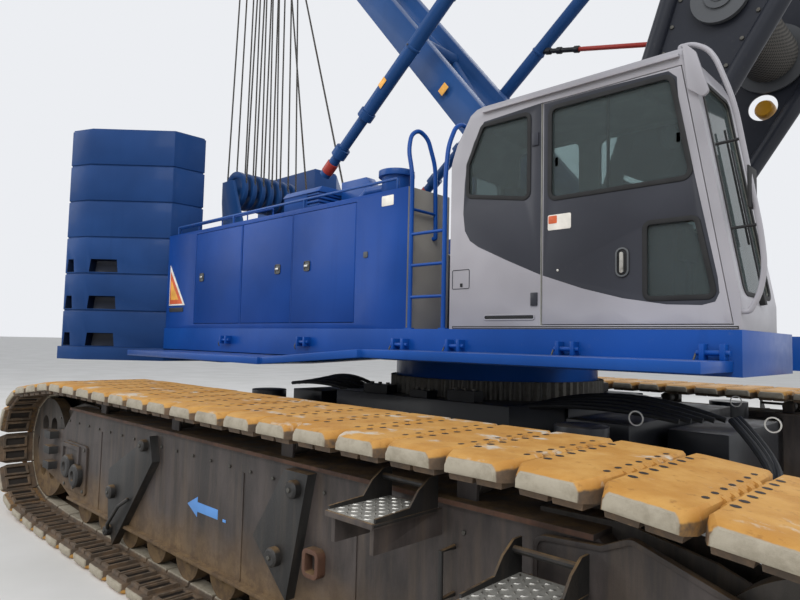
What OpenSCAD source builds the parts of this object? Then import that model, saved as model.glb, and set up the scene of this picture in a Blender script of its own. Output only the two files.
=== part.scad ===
// Crawler crane with its superstructure in line with the tracks.
// Millimetres, X forwards, Y to the left, Z up, origin on the ground under the swing axis.

/* [Tracks] */
// Distance between the centre lines of the two tracks
track_gauge = 6260; // [6100:10:6500]
// Width of a track shoe
shoe_w = 1100; // [1000:10:1200]
// Nominal distance from one shoe to the next
shoe_pitch = 360; // [340:5:380]
// Thickness of a shoe's pad
shoe_t = 90; // [70:1:100]
// Thickness of the linked band under the pads
link_t = 40; // [30:1:50]
// Depth of the groove in the wheels and rollers that clears the shoes' guides
groove_d = 60; // [40:1:70]
// Distance from the swing axis to each end wheel's axle
wheel_x = 3750; // [3600:10:3900]
// Height of the end wheels' axles above the ground
wheel_z = 730; // [700:5:760]
// Radius of the band's outer face round an end wheel
wheel_band_r = 605; // [580:5:620]
// Height of the upper run over the ground, outside the shoes
upper_run_z = 1530; // [1500:5:1580]
// Half the length of the level stretch of the upper run
upper_flat_x = 2850; // [2700:10:2950]
// Half the length of the level stretch of the lower run
lower_flat_x = 3000; // [2900:10:3100]
// Radius of a track roller
roller_r = 180; // [160:1:185]
// Number of track rollers a side
roller_count = 11; // [9:1:11]
// Radius of a carrier roller under the upper run
carrier_r = 70; // [60:1:72]

/* [Side frames] */
// Half the width of a side frame
frame_half_w = 240; // [235:1:260]
// Thickness of the side frame's hanging plates
skirt_t = 30; // [20:1:32]
// Height of the side frame's top
frame_top_z = 1250; // [1230:5:1260]
// Underside of the side frame's closed girder
frame_floor_z = 520; // [505:5:560]
// Bottom edge of the side frame's hanging plates
skirt_z = 330; // [300:5:360]
// How far the side frame's flanges stand out
flange_out = 45; // [30:1:60]
// Thickness of the side frame's flanges
flange_t = 25; // [16:1:35]

/* [Carbody] */
// Half the length of the carbody's centre box
carbody_half_l = 1450; // [1350:10:1550]
// Half the width of the carbody's centre box
carbody_half_w = 1350; // [1250:10:1450]
// Top of the carbody
carbody_top_z = 1480; // [1440:5:1520]
// Underside of the carbody
carbody_floor_z = 560; // [520:5:600]
// Distance from the swing axis to each cross beam
beam_x = 1800; // [1750:10:1850]
// Width of a cross beam
beam_w = 700; // [600:10:760]
// Height of a cross beam's top
beam_top_z = 1180; // [1120:5:1220]
// Outer radius of the swing ring
ring_r = 1150; // [1050:10:1250]
// Number of teeth on the swing ring
ring_teeth = 80; // [60:1:90]

/* [Revolving frame] */
// Underside of the revolving frame
deck_z0 = 1830; // [1800:5:1850]
// Top of the revolving frame
deck_z1 = 2120; // [2080:5:2140]
// Half the width of the revolving frame
deck_half_w = 1620; // [1610:1:1640]
// Front end of the revolving frame
deck_front_x = 2950; // [2900:10:3000]
// Rear end of the revolving frame
deck_rear_x = -4600; // [-4620:5:-4560]
// Half the width of the open slot in front of the boom's feet
slot_half_w = 375; // [365:1:378]
// Rear end of the boom slot
slot_rear_x = 1150; // [1000:10:1300]
// Distance from the swing axis to the boom's and mast's foot shaft
foot_x = 1532; // [1500:1:1560]
// Height of the foot shaft
foot_z = 2588; // [2560:1:2620]
// Radius of the foot shaft
foot_r = 70; // [60:1:80]

/* [House] */
// Inner side of the machinery houses, beside the winches
house_in_y = 1000; // [990:5:1020]
// Height of the house roof
house_top_z = 3450; // [3400:5:3500]
// Front end of the houses
house_front_x = 130; // [100:5:160]
// Thickness of a house wall
wall_t = 30; // [24:1:40]
// Gap round a house door
door_gap = 6; // [5:0.5:8]

/* [Counterweight] */
// Number of slabs in each stack
slab_count = 6; // [5:1:6]
// Height of one slab
slab_h = 535; // [500:5:545]
// Thickness of the counterweight tray
tray_t = 180; // [150:5:200]

/* [Cab] */
// Inner side of the cab, beside the boom
cab_in_y = 790; // [786:1:800]
// Thickness of the cab's walls
cab_t = 45; // [40:1:55]
// Rear end of the cab
cab_rear_x = 660; // [640:5:680]
// Front end of the cab's floor
cab_front_x = 2945; // [2925:5:2945]
// Front end of the cab's roof
cab_brow_x = 2670; // [2660:5:2690]
// Height of the cab's roof
cab_top_z = 3985; // [3960:5:4000]
// Rear edge of the cab door
door_x = 1550; // [1540:5:1570]

/* [Boom and mast] */
// Boom angle above the ground as it stands
boom_deg = 63.5; // [61:0.5:66]
// Length of the boom's base section
base_l = 7600; // [7200:50:8000]
// Length of the boom's tip section
tip_l = 7600; // [7200:50:8000]
// Half the boom's depth between its chords
boom_half_d = 800; // [760:5:840]
// Half the boom's width between its chords
boom_half_w = 900; // [860:5:920]
// Radius of a boom chord
chord_r = 75; // [60:1:85]
// Radius of a lacing tube
lace_r = 38; // [30:1:45]
// Length of the mast
mast_l = 9800; // [9500:50:10100]
// Mast angle above the ground, to the rear
mast_deg = 50.5; // [48:0.5:53]
// Depth of a mast beam
mast_d = 340; // [300:5:380]
// Distance from the middle to each backstop
stop_y = 880; // [870:1:885]

/* [Winches] */
// Radius of a winch drum's barrel
drum_r = 290; // [250:5:310]
// Radius of a winch drum's flange
drum_flange_r = 420; // [400:5:440]
// Half the width of a winch drum
drum_half_w = 480; // [440:5:500]

/* [Hidden] */
$fn = 40;
running = 0.3;   // gap at a seat, pin or roller
clear = 6;       // gap between pieces that pass each other
cut = 2;         // how far a cutter passes a face

// Track path: circles that the band's outer face wraps round, in order, as [x, z, radius]
corner_r = 300;
path_rings = [
    [-lower_flat_x, shoe_t + corner_r, corner_r],
    [lower_flat_x, shoe_t + corner_r, corner_r],
    [wheel_x, wheel_z, wheel_band_r],
    [upper_flat_x, upper_run_z - shoe_t - corner_r, corner_r],
    [-upper_flat_x, upper_run_z - shoe_t - corner_r, corner_r],
    [-wheel_x, wheel_z, wheel_band_r]];
ring_n = len(path_rings);
function ring(i) = path_rings[(i + ring_n) % ring_n];
function ring_step(i) = [ring(i + 1)[0] - ring(i)[0], ring(i + 1)[1] - ring(i)[1]];
function run_deg(i) = atan2(ring_step(i)[1], ring_step(i)[0])
    + asin((ring(i)[2] - ring(i + 1)[2]) / norm(ring_step(i)));
function run_len(i) = sqrt(pow(norm(ring_step(i)), 2) - pow(ring(i)[2] - ring(i + 1)[2], 2));
function bend_deg(i) = (run_deg(i) - run_deg(i - 1) + 720) % 360;
function bend_len(i) = bend_deg(i) * PI / 180 * ring(i)[2];
function loop_to(i) = i == 0 ? 0 : loop_to(i - 1) + run_len(i - 1) + bend_len(i);
loop_len = loop_to(ring_n);
shoe_count = round(loop_len / shoe_pitch);
step_len = loop_len / shoe_count;
// Point and heading on the loop, s along it from the start of ring i's straight run
function on_loop(s, i = 0) =
    s > run_len(i) + bend_len(i + 1) && i < ring_n - 1
        ? on_loop(s - run_len(i) - bend_len(i + 1), i + 1)
        : let (a = run_deg(i), r = ring(i), q = ring(i + 1))
          s <= run_len(i)
            ? [r[0] + r[2] * sin(a) + s * cos(a), r[1] - r[2] * cos(a) + s * sin(a)]
            : let (b = a + (s - run_len(i)) / q[2] * 180 / PI)
              [q[0] + q[2] * sin(b), q[1] - q[2] * cos(b)];
loop_pts = [for (i = [0 : shoe_count - 1]) on_loop(i * step_len)];
function lp(i) = loop_pts[(i + shoe_count) % shoe_count];
function chord_deg(i) = atan2(lp(i + 1)[1] - lp(i)[1], lp(i + 1)[0] - lp(i)[0]);
function inset_pt(i, d) = let (a = lp(i) - lp(i - 1), b = lp(i + 1) - lp(i),
    m = a / norm(a) + b / norm(b), t = m / norm(m)) lp(i) + d * [-t[1], t[0]];

band_half_w = 205;
groove_half_w = 60;
tread_in = groove_half_w + 15;
tread_out = 190;
end_half_deg = step_len / wheel_band_r / 2 * 180 / PI;
wheel_r = (wheel_band_r - link_t) * cos(end_half_deg) - 3 * running;
lower_in_z = shoe_t + link_t;
upper_in_z = upper_run_z - shoe_t - link_t;
skirt_in = frame_half_w - skirt_t;
roller_span = 5200;
carrier_xs = [-2200, -750, 750, 2200];

cab_y = deck_half_w;       // outer side of the cab
house_y = deck_half_w - 20; // outer side of the machinery houses
// Lanes on the foot shaft, from the middle outwards: tower plate, mast, tower plate, boom, tower plate
tower_t = 25;
tower_in_y = slot_half_w + 5;
mast_in_y = tower_in_y + tower_t + clear;
mast_out_y = mast_in_y + 164;
tower_mid_y = mast_out_y + clear;
boom_lug_in = tower_mid_y + tower_t + clear;
boom_lug_out = boom_lug_in + 60;
tower_out_y = boom_lug_out + clear;
ladder_x = 172;
ladder_y = deck_half_w - 24;
house_z0 = deck_z1;
slabs_z = deck_z0;
base_z = deck_z0 - tray_t;
drum_z = deck_z1 + 480;
winch_xs = [-500, -1650, -2800];
gantry_x = -4370;
sheave_z = 4350;
sheave_r = 300;

module cyl_y(r, y0, y1) { translate([0, y0, 0]) rotate([-90, 0, 0]) cylinder(r = r, h = y1 - y0); }
// The seam is turned by seam degrees, to keep it off a plate that the tube passes
module tube_between(p, q, r, seam = 0) {
    d = q - p;
    translate(p) rotate([0, acos(d[2] / norm(d)), atan2(d[1], d[0])]) rotate(seam) cylinder(r = r, h = norm(d));
}
// Bent tube through a list of points
module bent_rail(pts, r) {
    for (i = [0 : len(pts) - 2]) tube_between(pts[i], pts[i + 1], r);
    for (i = [1 : len(pts) - 2]) translate(pts[i]) sphere(r = r + 2, $fn = 24);
}
// Outline drawn in X and Z, given thickness from y0 to y1
module side_plate(y0, y1) { translate([0, y1, 0]) rotate([90, 0, 0]) linear_extrude(y1 - y0) children(); }
module rounded(x0, z0, x1, z1, r) {
    translate([x0 + r, z0]) square([x1 - x0 - 2 * r, z1 - z0]);
    translate([x0, z0 + r]) square([x1 - x0, z1 - z0 - 2 * r]);
    for (x = [x0 + r, x1 - r], z = [z0 + r, z1 - r]) translate([x, z]) circle(r = r, $fn = 24);
}
module block(x0, x1, y0, y1, z0, z1) { translate([x0, y0, z0]) cube([x1 - x0, y1 - y0, z1 - z0]); }
// Places a right-hand piece on side -1 and its mirror image on side 1
module on_side(side) { if (side < 0) children(); else mirror([0, 1, 0]) children(); }
module on_track(side) { on_side(side) translate([0, -track_gauge / 2, 0]) children(); }

// Undercarriage
sunk = 6;                  // how far a shoe's pad reaches into the band
module shoe() {
    full = step_len - 14;
    nose = step_len - 120;
    shoulder = shoe_w / 2 - 90;
    translate([0, 0, -shoe_t]) linear_extrude(shoe_t + sunk) polygon([
        [-full / 2, -shoulder], [-nose / 2, -shoe_w / 2], [nose / 2, -shoe_w / 2], [full / 2, -shoulder],
        [full / 2, shoulder], [nose / 2, shoe_w / 2], [-nose / 2, shoe_w / 2], [-full / 2, shoulder]]);
}
module track(side) {
    color([0.78, 0.58, 0.30]) on_track(side) {
        side_plate(-band_half_w, band_half_w) difference() {
            polygon(loop_pts);
            polygon([for (i = [0 : shoe_count - 1]) inset_pt(i, link_t)]);
        }
        for (i = [0 : shoe_count - 1])
            translate([(lp(i)[0] + lp(i + 1)[0]) / 2, 0, (lp(i)[1] + lp(i + 1)[1]) / 2])
                rotate([0, -chord_deg(i), 0]) shoe();
    }
}
module side_frame(side) {
    end_x = round(wheel_x - wheel_r - 60);
    yoke_x = wheel_x + 130;
    color([0.22, 0.20, 0.18]) on_track(side) {
        side_plate(-frame_half_w, frame_half_w) polygon([
            [-end_x, frame_floor_z + 60], [-end_x + 120, frame_floor_z], [end_x - 120, frame_floor_z],
            [end_x, frame_floor_z + 60], [end_x, frame_top_z - 260], [end_x - 260, frame_top_z - flange_t],
            [-end_x + 260, frame_top_z - flange_t], [-end_x, frame_top_z - 260]]);
        block(-end_x + 260, end_x - 260, -frame_half_w - flange_out, frame_half_w + flange_out,
            frame_top_z - flange_t, frame_top_z);
        for (s = [-1, 1]) {
            y0 = s < 0 ? -frame_half_w : skirt_in;
            side_plate(y0, y0 + skirt_t) polygon([[-end_x + 300, skirt_z], [end_x - 300, skirt_z],
                [end_x, skirt_z + 90], [yoke_x, wheel_z - 190], [yoke_x + 60, wheel_z], [yoke_x, wheel_z + 190],
                [end_x, frame_top_z - 260], [end_x, frame_floor_z + 60], [end_x - 120, frame_floor_z],
                [-end_x + 120, frame_floor_z], [-end_x, frame_floor_z + 60], [-end_x, frame_top_z - 260],
                [-yoke_x, wheel_z + 190], [-yoke_x - 60, wheel_z], [-yoke_x, wheel_z - 190],
                [-end_x, skirt_z + 90]]);
            block(-end_x + 300, end_x - 300, s < 0 ? -frame_half_w - flange_out : frame_half_w,
                s < 0 ? -frame_half_w : frame_half_w + flange_out, skirt_z, skirt_z + flange_t);
        }
        // Ears for the carrier rollers
        for (x = carrier_xs, s = [-1, 1])
            translate([x, s * (tread_out + 15), 0]) block(-60, 60, -10, 10, frame_top_z, upper_in_z - 30);
        // Fold-out jack brackets, seen as dark diamonds
        side_plate(-frame_half_w - 70, -frame_half_w) polygon([[-1000, 1180], [-1780, 800], [-1750, 390],
            [-1630, 160], [-930, 980]]);
        side_plate(-frame_half_w - 70, -frame_half_w) polygon([[860, 1200], [540, 730], [910, 420], [1090, 1200]]);
        // Side steps
        for (step = [[1770, 1180], [2560, 1000]]) {
            block(step[0], step[0] + 320, -frame_half_w - 500, -frame_half_w - 60, step[1], step[1] + 25);
            for (dx = [30, 290]) side_plate(-frame_half_w - 470, -frame_half_w) translate([step[0] + dx, step[1]])
                polygon([[-12, -120], [12, -120], [12, 6], [-12, 6]]);
        }
        // Adjuster box beside the idler
        difference() {
            block(-3080, -2600, -frame_half_w - 40, -frame_half_w, 560, 880);
            block(-3040, -2640, -frame_half_w - 42, -frame_half_w - 1, 600, 840);
        }
        translate([-2840, 0, 720]) cyl_y(60, -frame_half_w - 36, -frame_half_w);
        // Stop blocks at the idler's yoke
        for (z = [600, 760, 920]) block(-3480, -3300, -frame_half_w - 90, -frame_half_w, z - 40, z + 40);
    }
}
module wheel_body(toothed) {
    difference() {
        union() {
            for (s = [-1, 1]) cyl_y(wheel_r, min(s * tread_in, s * tread_out), max(s * tread_in, s * tread_out));
            cyl_y(wheel_r - groove_d - link_t - 30, -tread_in - 1, tread_in + 1);
        }
        if (toothed) for (a = [0 : 45 : 359]) rotate([0, a, 0]) translate([wheel_r + 25, 0, 0])
            cyl_y(75, tread_in + 60, tread_out + cut);
        if (!toothed) for (a = [0 : 60 : 359]) rotate([0, a, 0]) translate([wheel_r * 0.52, 0, 0])
            cyl_y(95, -tread_out - cut, tread_out + cut);
    }
    cyl_y(75, -skirt_in + running, skirt_in - running);
}
module drive_wheel(side) {
    color([0.25, 0.23, 0.21]) on_track(side) translate([wheel_x, 0, wheel_z]) {
        wheel_body(true);
        // Travel gearbox and motor, bolted to the inner plate
        translate([0, frame_half_w + running, 0]) {
            cyl_y(330, 0, 190);
            cyl_y(190, 190, 300);
        }
    }
}
module idler(side) {
    color([0.25, 0.23, 0.21]) on_track(side) translate([-wheel_x, 0, wheel_z]) wheel_body(false);
}
module rollers(side) {
    color([0.28, 0.25, 0.22]) on_track(side) {
        for (i = [0 : roller_count - 1])
            translate([-roller_span / 2 + i * roller_span / (roller_count - 1), 0, lower_in_z + roller_r + running]) {
                for (s = [-1, 1]) cyl_y(roller_r, min(s * tread_in, s * tread_out), max(s * tread_in, s * tread_out));
                cyl_y(roller_r - groove_d - 12, -tread_in - 1, tread_in + 1);
                cyl_y(50, -skirt_in + running, skirt_in - running);
            }
        for (x = carrier_xs, s = [-1, 1]) translate([x, 0, upper_in_z - carrier_r - running])
            cyl_y(carrier_r, s < 0 ? -tread_out : tread_in, s < 0 ? -tread_in : tread_out);
    }
}
module carbody() {
    color([0.10, 0.10, 0.11]) {
        corner = 350;
        translate([0, 0, carbody_floor_z]) linear_extrude(carbody_top_z - carbody_floor_z) difference() {
            square([2 * carbody_half_l, 2 * carbody_half_w], center = true);
            for (a = [0 : 90 : 359]) rotate(a) translate(a % 180 == 0 ? [carbody_half_l, carbody_half_w]
                : [carbody_half_w, carbody_half_l]) rotate(45)
                square([corner * 2, corner * sqrt(2)], center = true);
            circle(r = 420);
        }
        // Steps and valve boxes on the front and rear beams
        for (s = [-1, 1]) {
            block(s * beam_x - 260, s * beam_x + 260, -1200, 1200, beam_top_z, beam_top_z + 240);
            nose_x = beam_x + beam_w / 2;
            block(s > 0 ? nose_x : -nose_x - 450, s > 0 ? nose_x + 450 : -nose_x,
                -700, 700, 900, beam_top_z + 180);
        }
        // Sockets for the carbody's lifting jacks
        for (sx = [-1, 1], sy = [-1, 1]) translate([sx * (beam_x + 110), sy * 1650, beam_top_z])
            cylinder(r = 190, h = 260);
    }
}
module cross_beam(end) {
    color([0.11, 0.11, 0.12]) {
        inner = track_gauge / 2 - frame_half_w;
        block(end * beam_x - beam_w / 2, end * beam_x + beam_w / 2, -inner, inner, carbody_floor_z, beam_top_z);
    }
}
module swing_ring() {
    color([0.30, 0.30, 0.31]) translate([0, 0, carbody_top_z]) linear_extrude(170) difference() {
        polygon([for (i = [0 : ring_teeth - 1], k = [0 : 3])
            let (a = (i + [0.0, 0.3, 0.5, 0.8][k]) * 360 / ring_teeth, r = ring_r + (k == 0 || k == 3 ? -28 : 0))
            [r * cos(a), r * sin(a)]]);
        circle(r = 820, $fn = 60);
    }
}

// Superstructure
module revolving_frame() {
    color([0.08, 0.30, 0.62]) {
        difference() {
            block(deck_rear_x, deck_front_x, -deck_half_w, deck_half_w, deck_z0, deck_z1);
            block(slot_rear_x, deck_front_x + cut, -slot_half_w, slot_half_w, deck_z0 - cut, deck_z1 + cut);
            translate([0, 0, deck_z0 - cut]) cylinder(r = 360, h = deck_z1 - deck_z0 + 2 * cut);
        }
        // Upper race of the swing bearing
        translate([0, 0, carbody_top_z + 170 + running]) difference() {
            cylinder(r = ring_r - 60, h = deck_z0 - carbody_top_z - 170 - running, $fn = 60);
            translate([0, 0, -cut]) cylinder(r = 820, h = deck_z0, $fn = 60);
        }
        // Foot towers of the boom and the mast, with their common shaft
        for (s = [-1, 1], lane = [tower_in_y, tower_mid_y, tower_out_y]) {
            y0 = s < 0 ? -lane - tower_t : lane;
            side_plate(y0, y0 + tower_t) union() {
                polygon([[foot_x - 500, deck_z1], [foot_x + 420, deck_z1],
                    [foot_x + 150, foot_z + 60], [foot_x - 150, foot_z + 60]]);
                translate([foot_x, foot_z]) circle(r = 160);
            }
        }
        translate([foot_x, 0, foot_z]) cyl_y(foot_r, -tower_out_y - tower_t, tower_out_y + tower_t);
        // Landing posts of the backstops
        for (s = [-1, 1]) block(-2400, -2160, s * stop_y - 100, s * stop_y + 100, deck_z1, deck_z1 + 540);
    }
}
module winch_stands() {
    color([0.12, 0.30, 0.55]) for (s = [-1, 1]) {
        y0 = s < 0 ? -drum_half_w - 60 : drum_half_w + clear;
        side_plate(y0, y0 + 54) difference() {
            polygon([[winch_xs[2] - 520, deck_z1], [winch_xs[0] + 480, deck_z1], [winch_xs[0] + 330, drum_z + 180],
                [winch_xs[2] - 330, drum_z + 180]]);
            for (x = winch_xs) translate([x, drum_z]) circle(r = 90 + running);
        }
    }
}
module drum(k) {
    color([0.35, 0.35, 0.36]) translate([winch_xs[k], 0, drum_z]) {
        cyl_y(drum_r, -drum_half_w, drum_half_w);
        for (s = [-1, 1]) cyl_y(drum_flange_r, s < 0 ? -drum_half_w : drum_half_w - 40,
            s < 0 ? -drum_half_w + 40 : drum_half_w);
        cyl_y(90, -drum_half_w - 60, drum_half_w + 60);
    }
}
module gantry() {
    color([0.16, 0.32, 0.56]) {
        for (s = [-1, 1]) side_plate(s * 620 - 25, s * 620 + 25) difference() {
            polygon([[deck_rear_x + 50, deck_z1], [gantry_x + 800, deck_z1],
                [gantry_x - 180, sheave_z + 120], [gantry_x - 480, sheave_z + 120], [gantry_x - 480, sheave_z - 200]]);
            translate([gantry_x + 150, deck_z1 + 500]) circle(r = 160);
        }
        translate([gantry_x - 330, 0, sheave_z]) cyl_y(60, -645, 645);
        translate([gantry_x - 60, 0, deck_z1 + 1150]) cyl_y(70, -600, 600);
    }
    color([0.45, 0.45, 0.46]) for (i = [-3 : 3]) translate([gantry_x - 330, i * 160, sheave_z]) difference() {
        cyl_y(sheave_r, -35, 35);
        for (s = [-1, 1]) cyl_y(200, s < 0 ? -36 : 18, s < 0 ? -18 : 36);
    }
}

// House doors as [rear end, front end, side of the hinge: 1 at the front]
right_doors = [[-3810, -2670, 1], [-2670, -1640, -1], [-1640, -575, 1]];
left_doors = [[-3500, -2000, -1], [-2000, -500, 1]];
door_z0 = house_z0 + 60;
door_z1 = house_top_z - 50;
leaf_t = wall_t - 2;
pivot_r = 8;
pivot_reach = 30;
function pivot_x(d) = d[2] > 0 ? d[1] - 2 * door_gap - leaf_t / 2 : d[0] + 2 * door_gap + leaf_t / 2;
// Pins above and below a door, reaching into it by pivot_reach
module pivot_pins(x, y, z0, z1, gap) {
    translate([x, y, z0 - 1]) cylinder(r = pivot_r, h = gap + pivot_reach + 1);
    translate([x, y, z1 - gap - pivot_reach]) cylinder(r = pivot_r, h = gap + pivot_reach + 1);
}
// Bores for those pins in a door from z0 to z1
module pivot_bores(x, y, z0, z1) {
    translate([x, y, z0 - 1]) cylinder(r = pivot_r + running, h = pivot_reach + 2);
    translate([x, y, z1 - pivot_reach - 1]) cylinder(r = pivot_r + running, h = pivot_reach + 2);
}
module house(side, doors) {
    color([0.07, 0.27, 0.55]) on_side(side) {
        difference() {
            block(deck_rear_x, house_front_x, -house_y, -house_in_y, house_z0, house_top_z);
            block(deck_rear_x + wall_t, house_front_x - wall_t, -house_y + wall_t, -house_in_y - wall_t,
                house_z0 + wall_t, house_top_z - wall_t);
            for (d = doors) block(d[0] + door_gap, d[1] - door_gap, -house_y - cut, -house_y + wall_t + cut,
                door_z0, door_z1);
        }
        for (d = doors) pivot_pins(pivot_x(d), -house_y + leaf_t / 2, door_z0, door_z1, door_gap);
    }
}
module house_door(side, d) {
    z0 = door_z0 + door_gap;
    z1 = door_z1 - door_gap;
    y = -house_y + leaf_t / 2;
    color([0.07, 0.28, 0.57]) on_side(side) difference() {
        union() {
            block(d[2] > 0 ? d[0] + 2 * door_gap : pivot_x(d), d[2] > 0 ? pivot_x(d) : d[1] - 2 * door_gap,
                -house_y, -house_y + leaf_t, z0, z1);
            translate([pivot_x(d), y, z0]) cylinder(r = leaf_t / 2, h = z1 - z0);
        }
        pivot_bores(pivot_x(d), y, z0, z1);
    }
}
module engine() {
    color([0.25, 0.26, 0.27]) block(-2600, -1000, house_in_y + 90, house_y - 90, house_z0 + wall_t, house_z0 + 1000);
}
module roof_fittings() {
    color([0.10, 0.30, 0.56]) {
        // Air hood on the right-hand roof: plain rear half, louvred front half, one ridged lid
        block(-2030, -1600, -1450, -1020, house_top_z, house_top_z + 215);
        block(-1610, -1420, -1420, -1050, house_top_z, house_top_z + 215);
        for (i = [0 : 4]) block(-1606, -1390, -1446, -1024, house_top_z + 12 + i * 42, house_top_z + 34 + i * 42);
        translate([-2045, 0, 0]) rotate([90, 0, 90]) linear_extrude(670) polygon([[-1465, house_top_z + 209],
            [-1005, house_top_z + 209], [-1060, house_top_z + 275], [-1410, house_top_z + 275]]);
        // Silencer box behind it
        side_plate(-1140, -1010) polygon([[-1360, house_top_z], [-800, house_top_z], [-800, house_top_z + 190],
            [-950, house_top_z + 360], [-1360, house_top_z + 360]]);
        // Intake stack with its cap, and the duct into it
        translate([-320, -1300, house_top_z]) {
            cylinder(r = 150, h = 215);
            translate([0, 0, 209]) cylinder(r = 185, h = 60);
        }
        bent_rail([[-820, -1300, house_top_z], [-820, -1300, house_top_z + 70], [-745, -1300, house_top_z + 125],
            [-440, -1300, house_top_z + 125]], 50);
        // Exhaust on the left-hand roof
        translate([-1200, 1250, house_top_z]) cylinder(r = 75, h = 420);
    }
    color([0.10, 0.30, 0.56]) for (s = [-1, 1]) {
        for (x = [-4400 : 1450 : -40]) tube_between([x, s * 1560, house_top_z], [x, s * 1560, house_top_z + 110], 14);
        tube_between([-4400, s * 1560, house_top_z + 110], [-50, s * 1560, house_top_z + 110], 14);
    }
}
// Right-hand stack in plan, from its inner front corner outwards
stack_front_x = deck_rear_x - 60;
function stack_plan(grow) = [[stack_front_x + grow, -1060 + grow], [stack_front_x + grow, -1560 - grow],
    [-5510 + grow, -2420 - grow], [-5870, -2560 - grow], [-6280 - grow, -2250 - grow],
    [-6420 - grow, -1060 + grow]];
module counterweight_tray() {
    color([0.09, 0.26, 0.50]) {
        for (s = [-1, 1]) on_side(s) translate([0, 0, base_z]) linear_extrude(tray_t) polygon(stack_plan(50));
        block(-6470, -4000, -1030, 1030, base_z, deck_z0);
    }
}
module counterweight(side) {
    color([0.12, 0.27, 0.48]) on_side(side) for (i = [0 : slab_count - 1])
        translate([0, 0, slabs_z + i * slab_h]) {
            linear_extrude(slab_h - 24) polygon(stack_plan(0));
            translate([0, 0, slab_h - 24]) linear_extrude(24) polygon(stack_plan(-14));
        }
}
module catwalk(side) {
    color([0.08, 0.30, 0.62]) on_side(side) {
        block(200, 2900, -2200, -deck_half_w, 1860, 1930);
        side_plate(-2260, -deck_half_w) polygon([[-1200, 1750], [200, 1860], [200, 1930], [-1200, 1820]]);
        block(-4200, -1200, -2300, -deck_half_w, 1750, 1820);
    }
}
module ladders() {
    color([0.10, 0.32, 0.62]) for (s = [-1, 1]) on_side(s) {
        bent_rail([[ladder_x, -ladder_y, deck_z1], [ladder_x, -ladder_y, 3560], [ladder_x - 55, -ladder_y, 3800],
            [ladder_x - 70, -1545, 3960], [ladder_x - 55, -1460, 4020], [ladder_x - 35, -1350, 3960],
            [ladder_x - 12, -1260, 3700], [ladder_x - 10, -1240, 3000], [house_front_x, -1240, 3000]], 20);
        bent_rail([[ladder_x + 400, -ladder_y, deck_z1], [ladder_x + 400, -ladder_y, 3480],
            [ladder_x + 390, -1550, 3760], [ladder_x + 390, -1450, 3960], [ladder_x + 390, -1330, 4010],
            [ladder_x + 390, -1220, 3930], [ladder_x + 390, -1160, 3700], [ladder_x + 390, -1160, deck_z1]], 20);
        for (i = [1 : 3]) tube_between([ladder_x, -ladder_y, deck_z1 + i * 290],
            [ladder_x + 400, -ladder_y, deck_z1 + i * 290], 15);
        tube_between([ladder_x, -ladder_y, 3230], [ladder_x - 10, -1241, 3230], 14);
    }
}

// Cab: outline in X and Z, pulled in by d on every edge
// Upper rear corner, as steps forwards and down from where the roof and the rear would meet
cab_rear_curve = [[330, 0], [262, -12], [200, -50], [144, -141], [59, -278], [12, -400], [0, -450]];
module cab_outline(d) {
    polygon([[cab_rear_x + d, deck_z1 + d], [cab_front_x - d, deck_z1 + d], [cab_front_x - d, 2300],
        [cab_brow_x - d, cab_top_z - 130], [cab_brow_x - 60 - d, cab_top_z - d],
        for (p = cab_rear_curve) [cab_rear_x + d + p[0], cab_top_z - d + p[1]]]);
}
// Opening for the door, with its front edge along the front pillar
module door_outline(d) {
    polygon([[door_x + d, cab_door_z0 + d], [cab_front_x - 40 - d, cab_door_z0 + d],
        [cab_brow_x - 63 - d, cab_door_z1 - d], [door_x + d, cab_door_z1 - d]]);
}
// Panes as corners anticlockwise: centre in X and Z, then the arc's first and last angle
rear_pane = [[1395, 3196, -99.6, 0], [1395, 3778, 0, 90], [1016, 3778, 90, 154.4],
    [885, 3504, 154.4, 180], [885, 3282, 180, 260.4]];
upper_pane = [[2600, 3165, -90, 10.4], [2491, 3762, 10.4, 90], [1682, 3762, 90, 180], [1682, 3165, 180, 270]];
lower_pane = [[2749, 2367, -90, 11.8], [2659, 2800, 11.8, 90], [2397, 2800, 90, 180], [2397, 2367, 180, 270]];
module pane(corners, r) {
    polygon([for (c = corners, k = [0 : 3]) let (a = c[2] + (c[3] - c[2]) * k / 3)
        [c[0] + r * cos(a), c[1] + r * sin(a)]]);
}
module rear_window(d) { pane(rear_pane, 50 - d); }
module door_windows(d) {
    pane(upper_pane, 60 - d);
    pane(lower_pane, 45 - d);
}
module front_window(d) { rounded(-cab_y + 110 + d, 2350 + d, -cab_in_y - 110 - d, 3800 - d, 60); }
module cab_shell() {
    color([0.64, 0.63, 0.65]) difference() {
        side_plate(-cab_y, -cab_in_y) cab_outline(0);
        side_plate(-cab_y + cab_t, -cab_in_y - cab_t) cab_outline(cab_t);
        side_plate(-cab_y - cut, -cab_y + cab_t + cut) door_outline(0);
        side_plate(-cab_y - cut, -cab_y + cab_t + cut) rear_window(0);
        side_plate(-cab_in_y - cab_t - cut, -cab_in_y + cut) {
            rounded(830, 3140, 1450, 3790, 70);
            rounded(1640, 2900, 2560, 3770, 70);
        }
        // Windscreen and rear light
        translate([2500, 0, 0]) rotate([90, 0, 90]) linear_extrude(600) front_window(0);
        translate([cab_rear_x - cut, 0, 0]) rotate([90, 0, 90]) linear_extrude(cab_t + 2 * cut)
            rounded(-cab_y + 150, 2950, -cab_in_y - 150, 3500, 60);
    }
    color([0.64, 0.63, 0.65]) pivot_pins(cab_pivot_x, cab_pivot_y, cab_door_z0, cab_door_z1, clear);
}
cab_leaf_t = cab_t - 3;
cab_pivot_x = door_x + clear + cab_leaf_t / 2;
cab_pivot_y = -cab_y + cab_leaf_t / 2;
cab_door_z0 = 2150;
cab_door_z1 = cab_top_z - 110;
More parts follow.
